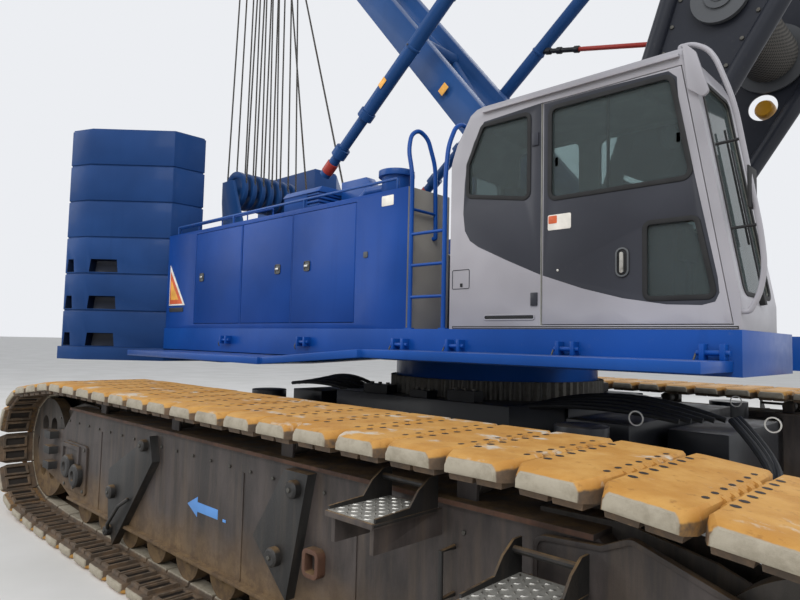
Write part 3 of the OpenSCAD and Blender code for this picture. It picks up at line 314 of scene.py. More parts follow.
HOUSE_DOORS = ["door_rear_right", "door_middle_right", "door_front_right", "door_rear_left", "door_front_left"]
CAD_FINISH = {
    "carbody": ["carbody", "cross_beam_front", "cross_beam_rear"],
    "frame": both("side_frame"),
    "shoe": both("track"),
    "wheel": both("drive_wheel", "idler", "rollers"),
    "iron": ["swing_ring", "mast_head", "boom_head"],
    "deck": ["revolving_frame", "ladders"] + both("catwalk"),
    "house": both("house") + HOUSE_DOORS,
    "roof": ["roof_fittings"],
    "engine": ["engine"],
    "drum": ["winch_stands", "boom_drum", *WINCHES],
    "mast": ["gantry", "mast", "backstops"],
    "weight": ["counterweight_tray"] + both("counterweight"),
    "cab": ["cab_shell", "cab_fittings", "cab_door"],
    "glass": ["cab_glass", "cab_door_glass"],
    "vinyl": ["cab_seat"],
    "boom": ["boom_base", "boom_tip", "pendants"],
    "yellow": ["hook_block"],
    "rope": ["hook_falls"],
}
for finish, names in CAD_FINISH.items():
    for name in names:
        mesh = NODES[name].data
        mesh.materials.clear()
        mesh.materials.append(PAINT[finish])


# Shapes
def axes_at(origin, x_axis, z_axis):
    """A placement with its own X and Z directions."""
    z = Vector(z_axis).normalized()
    x = (Vector(x_axis) - z * Vector(x_axis).dot(z)).normalized()
    return Matrix.Translation(origin) @ Matrix((x, z.cross(x), z)).transposed().to_4x4()


def at_foot(lean):
    return Matrix.Translation(FOOT) @ Matrix.Rotation(lean, 4, "Y")


BOOM = at_foot(BOOM_LEAN)
MAST = at_foot(MAST_LEAN)


def half_w(z):
    return BOOM_HALF_W if z >= BASE_L else FOOT_HALF_W + (BOOM_HALF_W - FOOT_HALF_W) * z / BASE_L


def half_d(z):
    return BOOM_HALF_D if z >= BASE_KNEE else FOOT_HALF_D + (BOOM_HALF_D - FOOT_HALF_D) * z / BASE_KNEE


def place_in(data):
    """A new object for a mesh, lamp or camera, linked into the scene."""
    made = bpy.data.objects.new(data.name, data)
    bpy.context.scene.collection.objects.link(made)
    return made


def add_object(bm, name, materials):
    """A mesh object of what bm holds."""
    mesh = bpy.data.meshes.new(name)
    bm.to_mesh(mesh)
    bm.free()
    for material in materials:
        mesh.materials.append(material)
    return place_in(mesh)


def bake(piece):
    """Makes what a piece's modifiers do its own form."""
    bpy.context.view_layer.update()
    mesh = bpy.data.meshes.new_from_object(piece.evaluated_get(bpy.context.evaluated_depsgraph_get()))
    piece.modifiers.clear()
    old, piece.data = piece.data, mesh
    bpy.data.meshes.remove(old)


def soften(piece, width):
    """Rounds a piece's sharp edges."""
    modifier = piece.modifiers.new("edge", "BEVEL")
    modifier.width = width
    modifier.segments = 2
    modifier.limit_method = "ANGLE"
    modifier.angle_limit = math.radians(32)
    bake(piece)
    for polygon in piece.data.polygons:
        polygon.use_smooth = True


def bands(rings):
    """Faces between each ring of points and the next; a ring may be one point, over and over."""
    quads = [(a[i - 1], a[i], b[i], b[i - 1]) for a, b in zip(rings, rings[1:]) for i in range(len(a))]
    faces = [list(dict.fromkeys(quad)) for quad in quads]
    return [face for face in faces if len(face) > 2]


def loft(start, n, rows):
    """Faces between rows of n points each, numbered from start, and over both ends."""
    rings = [[start + j * n + i for i in range(n)] for j in range(rows)]
    return bands(rings) + [rings[0][::-1], rings[-1]]


class Shape:
    """Solids collected into one mesh, with a finish for each."""

    def __init__(self, place=None):
        self.bm = bmesh.new()
        self.finishes = []
        self.place = place or Matrix.Identity(4)

    def faces(self, points, faces, finish, place=None):
        matrix = self.place @ (place or Matrix.Identity(4))
        verts = [self.bm.verts.new(matrix @ Vector(p)) for p in points]
        if finish not in self.finishes:
            self.finishes.append(finish)
        for face in faces:
            made = self.bm.faces.new([verts[i] for i in face])
            made.material_index = self.finishes.index(finish)
            made.smooth = True

    def prism(self, outline, depth, finish, place=None, taper=0.0):
        """An outline in X and Y, raised along Z by depth; taper pulls its top in."""
        n = len(outline)
        cx, cy = sum(p[0] for p in outline) / n, sum(p[1] for p in outline) / n
        top = [(p[0] + (cx - p[0]) * taper, p[1] + (cy - p[1]) * taper) for p in outline]
        points = [(p[0], p[1], 0) for p in outline] + [(p[0], p[1], depth) for p in top]
        self.faces(points, loft(0, n, 2), finish, place)

    def box(self, low, high, finish, place=None):
        (x0, y0, z0), (x1, y1, z1) = low, high
        place = (place or Matrix.Identity(4)) @ Matrix.Translation((0, 0, z0))
        self.prism(corners(x0, y0, x1, y1), z1 - z0, finish, place)

    def lathe(self, profile, finish, place=None, sides=24):
        """A profile of (radius, height) pairs turned about Z; closed at a radius of 0."""
        points, rings = [], []
        for r, z in profile:
            ring = circle(0, 0, r, sides) if r else [(0, 0)]
            rings.append([len(points) + i % len(ring) for i in range(sides)])
            points += [(x, y, z) for x, y in ring]
        self.faces(points, bands(rings), finish, place)

    def drum(self, start, end, radius, finish, sides=24, rim=0.0):
        """A round bar between two points; rim rounds its edges."""
        a, b = Vector(start), Vector(end)
        length = (b - a).length
        side = (1, 0, 0) if abs((b - a).normalized().x) < 0.9 else (0, 0, 1)
        edge = [(radius, 0), (radius, length)]
        if rim:
            edge = [(radius - rim, 0), (radius, rim), (radius, length - rim), (radius - rim, length)]
        self.lathe([(0, 0)] + edge + [(0, length)], finish, axes_at(a, side, b - a), sides)

    def tube(self, path, radius, finish, sides=10):
        """A bar bent along a path, with its turn kept steady from point to point."""
        pts = [Vector(p) for p in path]
        tangents = [(b - a).normalized() for a, b in zip(pts[:1] + pts, pts[1:] + pts[-1:])]
        side = tangents[0].orthogonal().normalized()
        points = []
        for p, tangent in zip(pts, tangents):
            side = (side - tangent * side.dot(tangent)).normalized()
            other = tangent.cross(side)
            points += [p + side * x + other * y for x, y in circle(0, 0, radius, sides)]
        self.faces(points, loft(0, sides, len(pts)), finish)

    def frame(self, outline, thick, depth, finish, place=None):
        """A ring of material that follows a closed outline in X and Y, thick wide, raised by depth."""
        n = len(outline)
        section = ((-thick / 2, 0), (thick / 2, 0), (thick / 2, depth), (-thick / 2, depth))
        points = [(x, y, z) for d, z in section for x, y in offset(outline, d)]
        self.faces(points, bands([range(j * n, (j + 1) * n) for j in (0, 1, 2, 3, 0)]), finish, place)

    def bolts(self, spots, radius, finish, place=None, height=0.012):
        """Six-sided heads on a surface, standing along Z."""
        for spot in spots:
            at = (place or Matrix.Identity(4)) @ Matrix.Translation(spot)
            self.lathe([(radius, 0), (radius, height * 0.8), (radius * 0.82, height), (0, height)], finish, at, 6)

    def done(self, name, body, bevel=0.0, sharp=35.0, slot=None):
        bmesh.ops.recalc_face_normals(self.bm, faces=self.bm.faces)
        piece = add_object(self.bm, name, [PAINT[finish] for finish in self.finishes])
        if bevel:
            soften(piece, bevel)
        piece.data.set_sharp_from_angle(angle=math.radians(sharp))
        if body:
            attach(piece, body)
        return piece


def corners(x0, y0, x1, y1):
    """A rectangle's outline."""
    return [(x0, y0), (x1, y0), (x1, y1), (x0, y1)]


def offset(outline, d):
    """A closed outline moved out by d, mitred at its corners."""
    n = len(outline)
    area = sum(outline[i - 1][0] * outline[i][1] - outline[i][0] * outline[i - 1][1] for i in range(n))
    turn = 1 if area > 0 else -1
    out = []
    for i in range(n):
        a, b, c = Vector(outline[i - 1]), Vector(outline[i]), Vector(outline[(i + 1) % n])
        u, v = (b - a).normalized(), (c - b).normalized()
        nu, nv = Vector((u.y, -u.x)), Vector((v.y, -v.x))
        m = (nu + nv).normalized()
        out.append(b + m * turn * d / max(0.35, m.dot(nu)))
    return [(p.x, p.y) for p in out]


def arc(cx, cy, r, a0, a1, steps):
    """Points from angle a0 to a1, in degrees."""
    turns = [math.radians(a0 + (a1 - a0) * k / steps) for k in range(steps + 1)]
    return [(cx + r * math.cos(a), cy + r * math.sin(a)) for a in turns]


def rounded(x0, y0, x1, y1, r):
    """A rectangle's outline with round corners."""
    bends = zip(corners(x0 + r, y0 + r, x1 - r, y1 - r), (-180, -90, 0, 90))
    return [p for (cx, cy), a in bends for p in arc(cx, cy, r, a, a + 90, 6)]


def circle(cx, cy, r, n=24):
    return arc(cx, cy, r, 0, 360, n)[:n]


def curve(p, b, q, steps):
    """Points of a curve from p to q that leans to b."""
    return [p * (1 - t) ** 2 + b * 2 * t * (1 - t) + q * t * t for t in (k / steps for k in range(steps + 1))]


def round_corners(outline, r):
    """Any outline with each corner turned into an arc of about radius r."""
    out = []
    for i, b in enumerate(outline):
        a, b, c = Vector(outline[i - 1]), Vector(b), Vector(outline[(i + 1) % len(outline)])
        u, v = (a - b).normalized(), (c - b).normalized()
        reach = min(r / max(0.2, math.tan(u.angle(v) / 2)), (a - b).length * 0.45, (c - b).length * 0.45)
        out += [(m.x, m.y) for m in curve(b + u * reach, b, b + v * reach, 5)]
    return out


def eased(path, r=0.09):
    """A bent path with its corners rounded."""
    pts = [Vector(p) for p in path]
    out = [pts[0]]
    for a, b, c in zip(pts, pts[1:], pts[2:]):
        u, v = a - b, c - b
        reach = min(r, u.length * 0.48, v.length * 0.48)
        out += curve(b + u.normalized() * reach, b, b + v.normalized() * reach, 6)
    return out + [pts[-1]]


def sag(start, end, drop, lean=0.0):
    """Points of a hose that hangs between two ends."""
    a, b = Vector(start), Vector(end)
    return [a.lerp(b, t) + Vector((lean, 0, -drop)) * (4 * t * (1 - t)) for t in (k / 14 for k in range(15))]


def fork_pockets(side):
    """Cutter for the pockets at the foot of the three lower slabs, placed on the stack's two slanting faces; the walls
    it leaves are painted near-black blue as painted shade.
    """
    foot_z, slab = 1.845, 0.535
    bm = bmesh.new()
    for level in range(3):
        z = foot_z + slab * level
        for (ax, ay), (bx, by), s0, s1 in (((-5.51, -2.42), (-4.66, -1.56), 0.06, 0.47),
                                           ((-5.87, -2.56), (-5.51, -2.42), 0.03, 0.17)):
            length = math.hypot(bx - ax, by - ay)
            dx, dy = (bx - ax) / length, (by - ay) / length
            made = []
            for inset, up in ((0, 0), (0.02, 0.185)):
                for s, depth in ((s0 + inset, -0.1), (s1 - inset, -0.1), (s1 - inset, 0.2), (s0 + inset, 0.2)):
                    made.append(bm.verts.new((ax + dx * s - dy * depth, -side * (ay + dy * s + dx * depth), z + up)))
            for f in loft(0, 4, 2):
                bm.faces.new([made[i] for i in f])
    bmesh.ops.recalc_face_normals(bm, faces=bm.faces)
    return add_object(bm, "fork_pockets", [PAINT["shaded_pocket"]])


def cut_away(piece, cutter):
    """Takes the cutter's form out of a piece; the new faces have the cutter's finish."""
    modifier = piece.modifiers.new("cut", "BOOLEAN")
    modifier.operation = "DIFFERENCE"
    modifier.solver = "EXACT"
    modifier.material_mode = "TRANSFER"
    modifier.object = cutter
    bake(piece)
    bpy.data.objects.remove(cutter)


def smooth_copy(node, width, body):
    """A node's own form with its edges rounded, shown in place of the node."""
    source = NODES[node].data
    bm = bmesh.new()
    bm.from_mesh(source)
    bmesh.ops.remove_doubles(bm, verts=bm.verts, dist=1e-5)
    bmesh.ops.dissolve_limit(bm, angle_limit=math.radians(0.5), verts=bm.verts, edges=bm.edges)
    piece = add_object(bm, node + "_edged", source.materials)
    if node in both("counterweight"):
        # The pockets' walls take the cutter's near-black blue, a painted shade
        cut_away(piece, fork_pockets(1 if node.endswith("left") else -1))
    soften(piece, width)
    piece.data.set_sharp_from_angle(angle=math.radians(40))
    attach(piece, body)
    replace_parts(piece, node)
    return piece


def wall(side, y, x=0.0, z=0.0):
    """Placement on a wall that faces sideways: local X runs forwards, Y up and Z out of the wall on that side."""
    return Matrix(((1, 0, 0, x), (0, 0, side, side * y), (0, 1, 0, z), (0, 0, 0, 1)))


def side_name(side):
    return "right" if side < 0 else "left"


def make_camera():
    """Camera of the photograph, solved from its vanishing points."""
    data = bpy.data.cameras.new("photo_camera")
    data.sensor_width = 36.0
    data.lens = 28.395
    data.clip_end = 1200.0
    camera = place_in(data)
    turn = Matrix(((0.7225, 0.6911, 0.0225), (0.0296, -0.0633, 0.9976), (0.6908, -0.7201, -0.0662)))
    camera.matrix_world = Matrix.Translation((4.1, -5.82, 2.0)) @ turn.transposed().to_4x4()
    bpy.context.scene.camera = camera


def make_light():
    """A pale sky for the camera, and a softer one that lights and shows in the paint."""
    scene = bpy.context.scene
    scene.view_settings.view_transform = "Standard"
    scene.world = bpy.data.worlds.new("studio")
    scene.world.use_nodes = True
    nodes, link = scene.world.node_tree.nodes, scene.world.node_tree.links.new
    nodes.clear()
    path = nodes.new("ShaderNodeLightPath")
    shown = path.outputs["Is Camera Ray"]
    for ray in ("Is Transmission Ray", "Is Glossy Ray"):
        either = nodes.new("ShaderNodeMath")
        either.operation = "MAXIMUM"
        link(shown, either.inputs[0])
        link(path.outputs[ray], either.inputs[1])
        shown = either.outputs[0]
    mix = nodes.new("ShaderNodeMixShader")
    link(shown, mix.inputs[0])
    for k, (colour, strength) in enumerate((("dfe3ea", 0.82), ("eceef2", 1.0))):
        sky = nodes.new("ShaderNodeBackground")
        sky.inputs["Color"].default_value = linear(colour)
        sky.inputs["Strength"].default_value = strength
        link(sky.outputs[0], mix.inputs[1 + k])
    link(mix.outputs[0], nodes.new("ShaderNodeOutputWorld").inputs[0])
    for name, place, aim, size, power in (
            ("key", (9, -16, 17), (0, -2, 2), 12, 2600), ("fill", (-16, -14, 11), (-2, -2, 2), 12, 1100),
            ("front", (20, 3, 12), (2, 0, 3), 10, 900), ("left", (-4, 18, 14), (0, 2, 2), 12, 900)):
        data = bpy.data.lights.new(name, "AREA")
        data.energy = power
        data.size = size
        lamp = place_in(data)
        lamp.location = place
        lamp.rotation_euler = (Vector(aim) - Vector(place)).to_track_quat("-Z", "Y").to_euler()


def make_floor():
    bm = bmesh.new()
    bmesh.ops.create_grid(bm, x_segments=2, y_segments=2, size=400)
    add_object(bm, "studio_floor", [floor_finish()])


# Track path, as the solids have it: centre in X and Z and radius of each bend
SHOE_COUNT = 52
RINGS = [(-3.0, 0.39, 0.3), (3.0, 0.39, 0.3), (3.75, 0.73, 0.605),
         (2.85, 1.14, 0.3), (-2.85, 1.14, 0.3), (-3.75, 0.73, 0.605)]


def track_steps():
    """Middle point, heading and length of each link of the loop."""
    n = len(RINGS)
    runs = []
    for i in range(n):
        a, b = RINGS[i], RINGS[(i + 1) % n]
        dx, dz = b[0] - a[0], b[1] - a[1]
        far = math.hypot(dx, dz)
        heading = math.atan2(dz, dx) + math.asin((a[2] - b[2]) / far)
        runs.append((heading, math.sqrt(far * far - (a[2] - b[2]) ** 2)))
    bends = [((runs[i][0] - runs[i - 1][0]) % (2 * math.pi)) * RINGS[i][2] for i in range(n)]
    step = (sum(r[1] for r in runs) + sum(bends)) / SHOE_COUNT
    points = []
    for k in range(SHOE_COUNT):
        s, i = k * step, 0
        while s > runs[i][1] + bends[(i + 1) % n] and i < n - 1:
            s -= runs[i][1] + bends[(i + 1) % n]
            i += 1
        heading, length = runs[i]
        a, b = RINGS[i], RINGS[(i + 1) % n]
        if s <= length:
            points.append((a[0] + a[2] * math.sin(heading) + s * math.cos(heading),
                           a[1] - a[2] * math.cos(heading) + s * math.sin(heading)))
        else:
            turn = heading + (s - length) / b[2]
            points.append((b[0] + b[2] * math.sin(turn), b[1] - b[2] * math.cos(turn)))
    return [((px + qx) / 2, (pz + qz) / 2, math.atan2(qz - pz, qx - px), math.dist((px, pz), (qx, qz)))
            for (px, pz), (qx, qz) in zip(points, points[1:] + points[:1])]


class Shoe:
    """One cast shoe: X along the track, Z towards the wheels. Each point has a clay, a worn end and a painted shade
    value.
    """

    def __init__(self, step):
        self.points, self.faces, self.wear_and_shade = [], [], []
        half = step / 2 - 0.007
        # Across the shoe: y, half length of the outer and the inner face, height of the outer and the inner face
        rows = [(-0.55, 0.075, 0.1, -0.052, -0.018), (-0.544, 0.118, 0.128, -0.068, -0.008),
                (-0.522, 0.134, 0.143, -0.08, 0.0), (-0.48, half - 0.02, half - 0.014, -0.087, 0.003),
                (-0.455, half - 0.008, half - 0.004, -0.09, 0.004), (-0.3, half - 0.006, half - 0.002, -0.09, 0.004),
                (-0.1, half - 0.004, half, -0.09, 0.004)]
        rows += [(-row[0],) + row[1:] for row in rows[::-1]]
        lip = 0.012
        for y, outer, inner, low, high in rows:
            for x, z in ((-inner, high), (-inner, (low + high) / 2), (-outer, low + lip), (-outer + lip, low),
                         (-outer * 0.35, low), (outer * 0.35, low), (outer - lip, low), (outer, low + lip),
                         (inner, (low + high) / 2), (inner, high), (inner * 0.3, high), (-inner * 0.3, high)):
                self.add((x, y, z), 1.0 if z < low + 0.03 and abs(y) <= 0.53 else 0.25, 0.9 if abs(y) > 0.535 else 0.0)
        self.faces += loft(0, 12, len(rows))
        for at, count in ((half - 0.021, 6), (-half + 0.015, 5)):
            for k in range(count):
                self.lug(at, 0.05 - 0.05 * count + 0.1 * k)
        for k in range(7):
            for at, reach in ((half - 0.043, 0.02), (-half + 0.041, 0.014)):
                self.slot(at, -0.3 + 0.1 * k, reach)
        for y in (-0.5, 0.25):
            for x in (-0.14, 0.008):
                self.shaded_pocket(x, x + 0.132, y, y + 0.25)
        # Rails that the rollers run on
        for y0, y1 in ((-0.2, -0.07), (0.07, 0.2)):
            start = len(self.points)
            for end, inset, z in ((half + 0.003, 0, 0), (half - 0.013, 0.01, 0.036)):
                for x, y in corners(-end, y0 + inset, end, y1 - inset):
                    self.add((x, y, z), 0.1, 0.6 if z else 0.0)
            self.faces += loft(start, 4, 2)

    def add(self, point, clay, end=0.0, painted_shade=0.0):
        self.points.append(point)
        self.wear_and_shade.append((clay, end, painted_shade))

    def lug(self, x, y):
        """Half-round knuckle across the gap to the next shoe."""
        start = len(self.points)
        for side in (-0.0225, 0.0225):
            for px, pz in arc(0, 0, 0.036, 0, 180, 6):
                self.add((x + px, y + side, -0.052 - pz), 0.55)
        self.faces += loft(start, 7, 2)

    def slot(self, x, y, reach):
        """Slot between two knuckles: a flat face painted near-black as painted shade."""
        self.faces.append([len(self.points) + k for k in range(8)])
        for px, py in circle(0, 0, 1, 8):
            self.add((x + reach * px, y + 0.02 * py, -0.0912), 0.0, 0.0, 1.0)

    def shaded_pocket(self, x0, x1, y0, y1):
        """Rim that stands up round a hollow on the inner face, with its bottom painted dark as painted shade."""
        start = len(self.points)
        for inset, z, end, painted_shade in ((0.0, 0.004, 0.0, 0.0), (0.004, 0.03, 0.35, 0.0), (0.026, 0.03, 0.35, 0.0),
                                      (0.032, 0.006, 0.0, 1.0)):
            for x, y in corners(x0 + inset, y0 + inset, x1 - inset, y1 - inset):
                self.add((x, y, z), 0.15, end, painted_shade)
        self.faces += loft(start, 4, 4)


def make_tracks():
    for side in (-1, 1):
        bm = bmesh.new()
        layer = bm.verts.layers.float_color.new("wear_and_shade")
        for x, z, heading, length in track_steps():
            shoe = Shoe(length)
            shade = rng.uniform(-0.12, 0.12)
            lift = rng.uniform(0.0015, 0.0065)
            cos, sin = math.cos(heading), math.sin(heading)
            made = []
            for (px, py, pz), (clay, end, painted_shade) in zip(shoe.points, shoe.wear_and_shade):
                pz += lift
                v = bm.verts.new((x + px * cos - pz * sin, side * TRACK_Y + py, z + px * sin + pz * cos))
                # Clay with this shoe's random tone, worn end, and the painted shade of slots and pocket bottoms
                v[layer] = (max(0.0, clay + shade), end, painted_shade, 1.0)
                made.append(v)
            for face in shoe.faces:
                bm.faces.new([made[i] for i in face]).smooth = True
        bmesh.ops.recalc_face_normals(bm, faces=bm.faces)
        piece = add_object(bm, "track_shoes_" + side_name(side), [PAINT["shoe"]])
        piece.data.set_sharp_from_angle(angle=math.radians(38))
        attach(piece, "lower")
        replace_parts(piece, "track_" + side_name(side))


def rope(name, start, end, body):
    """Taut rope: its only points are its two end rings, so it stays straight, and it may join two bodies."""
    shape = Shape()
    shape.tube([start, end], ROPE_R, "rope", 8)
    if isinstance(body, str):
        shape.done(name, body, slot="rope_steel")
    else:
        piece = shape.done(name, None, sharp=60)
        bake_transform(piece)


def make_ropes():
    """Ropes between the lower sheaves and the mast's head."""
    head = MAST @ Vector((0, 0, MAST_L))
    along = (head - SHEAVES).normalized()
    across = Vector((along.z, 0, -along.x))
    for i in range(7):
        for k, face in enumerate((-1, 1)):
            rope("mast_rope_%02d" % (2 * i + k + 1), SHEAVES + across * face * 0.28 + Vector((0, -0.48 + 0.16 * i, 0)),
                 head + across * face * 0.26 + Vector((0, -0.33 + 0.11 * i, 0)), ("upper", "mast"))


# Window outlines on the cab's side, as the solids have them: centre in X and Z, first and last angle of the arc
REAR_PANE = [(1.395, 3.196, -99.6, 0), (1.395, 3.778, 0, 90), (1.016, 3.778, 90, 154.4),
             (0.885, 3.504, 154.4, 180), (0.885, 3.282, 180, 260.4)]
UPPER_PANE = [(2.6, 3.165, -90, 10.4), (2.491, 3.762, 10.4, 90), (1.682, 3.762, 90, 180), (1.682, 3.165, 180, 270)]
LOWER_PANE = [(2.749, 2.367, -90, 11.8), (2.659, 2.8, 11.8, 90), (2.397, 2.8, 90, 180), (2.397, 2.367, 180, 270)]
# Outline of the dark band on the cab's side, in X and Z
BAND = [(1.0, 3.855), (0.9, 3.7), (0.825, 3.52), (0.805, 3.35), (0.795, 3.1), (0.815, 2.95), (0.87, 2.86),
        (0.96, 2.8), (1.25, 2.665), (1.55, 2.535), (1.9, 2.415), (2.2, 2.335), (2.5, 2.285), (2.72, 2.275),
        (2.8, 2.295), (2.825, 2.35), (2.815, 2.45), (2.585, 3.62), (2.575, 3.8), (2.52, 3.855), (1.55, 3.88)]
# Nodes shown with rounded edges, by body, with the width of the rounding in millimetres
EDGED = {
    "upper": {"house_right": 12, "house_left": 12, "counterweight_right": 16, "counterweight_left": 16,
              "counterweight_tray": 8, "revolving_frame": 6, "catwalk_right": 4, "catwalk_left": 4,
              "roof_fittings": 5, "cab_shell": 9, "gantry": 5, "winch_stands": 4, "engine": 15},
    "lower": {"side_frame_right": 6, "side_frame_left": 6, "carbody": 6, "cross_beam_front": 10, "cross_beam_rear": 10},
    "mast": {"mast": 6},
    "cab_door": {"cab_door": 6},
    "hook": {"hook_block": 8},
}
EDGED.update({door: {door: 8} for door in HOUSE_DOORS})


def pane(bends, r):
    return [p for x, z, a0, a1 in bends for p in arc(x, z, r, a0, a1, 5)]


def paint_inside(piece, outline, finish, y):
    """Cuts the faces on the wall at y along an outline in X and Z, and gives those inside it another finish."""
    bm = bmesh.new()
    bm.from_mesh(piece.data)
    flat = lambda f: abs(f.normal.y) > 0.95 and abs(f.calc_center_median().y - y) < 0.004
    sides = list(zip(outline[-1:] + outline, outline))
    for a, b in sides:
        faces = [f for f in bm.faces if flat(f)]
        edges = {e for f in faces for e in f.edges}
        verts = {v for f in faces for v in f.verts}
        bmesh.ops.bisect_plane(bm, geom=faces + list(edges) + list(verts), dist=1e-6,
                               plane_co=(a[0], y, a[1]), plane_no=(b[1] - a[1], 0, a[0] - b[0]))
    for f in filter(flat, bm.faces):
        c = f.calc_center_median()
        hits = sum((a[1] > c.z) != (b[1] > c.z) and c.x < a[0] + (c.z - a[1]) * (b[0] - a[0]) / (b[1] - a[1])
                   for a, b in sides)
        if hits % 2:
            f.material_index = len(piece.data.materials)
    bm.to_mesh(piece.data)
    bm.free()
    piece.data.materials.append(PAINT[finish])


def in_cab(face):
    """Inner walls of the cab: they face its middle."""
    middle = Vector((1.8, -1.2, 3.05))
    return (middle - face.center).dot(face.normal) > 0.02 and -1.6 < face.center.y < -0.8 and face.center.z > 2.15


def on_bracket(face):
    """Faces of the folded brackets, which stand out from a side frame's wall."""
    x, y, z = face.center
    return abs(y) > FRAME_Y + 0.012 and 0.37 < z < 1.2 and abs(face.normal.z) < 0.8 and (
        -2.0 < x < -0.85 or 0.45 < x < 1.25 or x < -3.12)


def on_lip(face):
    """Outer edge of a side frame's top flange."""
    y, z = face.center.yz
    return abs(face.normal.y) > 0.6 and z > 1.12 and abs(y) > FRAME_Y + 0.012 and face.area > 0.05


def on_front(face):
    """Front wall of the right-hand house."""
    return face.normal.x > 0.9 and face.center.x > 0.1


def make_edges():
    pieces = {node: smooth_copy(node, width / 1000, body)
              for body, nodes in EDGED.items() for node, width in nodes.items()}
    for node in ("cab_shell", "cab_door"):
        paint_inside(pieces[node], BAND, "band", -CAB_Y)
    for node, finish, test in (
            ("house_right", "panel", on_front), ("cab_shell", "lining", in_cab),
            ("side_frame_right", "black_plate", on_bracket), ("side_frame_left", "black_plate", on_bracket),
            ("side_frame_right", "rust", on_lip), ("side_frame_left", "rust", on_lip)):
        mesh = pieces[node].data
        mesh.materials.append(PAINT[finish])
        for f in filter(test, mesh.polygons):
            f.material_index = len(mesh.materials) - 1


def pads(shape, *rows):
    """Flat plates with round corners: two corners, corner radius, height and finish of each."""
    for x0, y0, x1, y1, r, height, finish in rows:
        shape.prism(rounded(x0, y0, x1, y1, r), height, finish)


def make_cab_trim():
    side = wall(-1, CAB_Y)
    for name, body, bends, r in (("rear_window_seal", "upper", REAR_PANE, 0.046),
                                 ("door_upper_seal", "cab_door", UPPER_PANE, 0.056),
                                 ("door_lower_seal", "cab_door", LOWER_PANE, 0.041)):
        shape = Shape()
        shape.frame(pane(bends, r), 0.034, 0.012, "rubber", wall(-1, CAB_Y - 0.006))
        shape.frame(pane(bends, r - 0.012), 0.02, 0.006, "rubber", wall(-1, CAB_Y - 0.034))
        shape.done(name, body, 0.003, slot="cab_trim")
    # Handle in its dished oval, and blank plates
    shape = Shape(side)
    shape.frame(rounded(2.158, 2.488, 2.242, 2.682, 0.04), 0.012, 0.014, "trim")
    shape.prism(circle(1.7, 2.56, 0.01, 12), 0.006, "steel")
    pads(shape, (2.15, 2.48, 2.25, 2.69, 0.045, 0.006, "rubber"),
         (2.186, 2.51, 2.212, 2.655, 0.012, 0.022, "zinc"), (1.612, 2.868, 1.806, 2.985, 0.012, 0.003, "label"),
         (1.618, 2.918, 1.69, 2.978, 0.008, 0.005, "orange"))
    shape.done("door_handle", "cab_door", 0.002, slot="cab_trim")
    # Hatch with its lock, slot under the door, bottom seam and hinges
    shape = Shape(side)
    shape.frame(rounded(0.69, 2.46, 0.87, 2.62, 0.012), 0.006, 0.004, "band")
    pads(shape, (0.775, 2.475, 0.8, 2.505, 0.005, 0.006, "rubber"),
         (1.03, 2.195, 1.5, 2.232, 0.016, 0.004, "rubber"))
    shape.frame(rounded(1.03, 2.195, 1.5, 2.232, 0.016), 0.01, 0.007, "cab")
    shape.frame([(0.7, 2.126), (2.93, 2.126), (2.93, 2.14), (0.7, 2.14)], 0.006, 0.004, "rubber")
    for z in (2.3, 3.55):
        shape.box((1.47, z, 0), (1.528, z + 0.1, 0.012), "band")
    shape.done("cab_side_details", "upper", 0.002, slot="cab_trim")
    # Sliding pane's bar and catches
    shape = Shape(wall(-1, CAB_Y - 0.034))
    shape.box((2.072, 3.115, 0), (2.094, 3.815, 0.014), "rubber")
    pads(shape, *[(x - 0.014, 3.36, x + 0.014, 3.43, 0.01, 0.016, "rubber") for x in (1.672, 2.575)])
    shape.done("door_pane_bar", "cab_door", 0.002, slot="cab_trim")
    # Windscreen gasket and wiper on the leaning front
    rise = Vector((2.67 - 2.945, 0, 3.855 - 2.3)).normalized()
    low, high = 0.05 / rise.z, 1.5 / rise.z
    shape = Shape(axes_at((2.945, 0, 2.3), (0, 1, 0), Vector((0, 1, 0)).cross(rise)))
    shape.frame(rounded(-1.505, low, -0.905, high, 0.06), 0.03, 0.012, "rubber", Matrix.Translation((0, 0, -0.006)))
    shape.box((-1.215, low - 0.06, 0.0), (-1.165, low + 0.03, 0.035), "rubber")
    shape.box((-1.198, low, 0.02), (-1.182, high - 0.45, 0.032), "vinyl")
    shape.box((-1.215, low + 0.35, 0.006), (-1.207, high - 0.3, 0.02), "rubber")
    shape.done("windscreen_trim", "upper", 0.002, slot="cab_trim")
    # Inside: screen on its post, grab rail, sun blind and fan
    shape = Shape()
    shape.box((2.44, -1.28, 2.62), (2.5, -1.0, 2.84), "vinyl")
    shape.drum((2.47, -1.14, 2.33), (2.47, -1.14, 2.64), 0.018, "trim", 12)
    shape.tube([(2.3, -0.88, 2.33), (2.3, -0.88, 3.05), (2.36, -0.95, 3.15)], 0.014, "steel")
    shape.box((1.0, -1.5, 3.78), (2.3, -0.9, 3.82), "lining")
    shape.lathe([(0, 0), (0.09, 0), (0.1, 0.02), (0.09, 0.05), (0, 0.06)], "trim",
                axes_at((2.3, -0.95, 3.62), (0, 1, 0), (-1, 0.3, 0)), 20)
    shape.done("cab_interior", "upper", 0.006, slot="cab_trim")


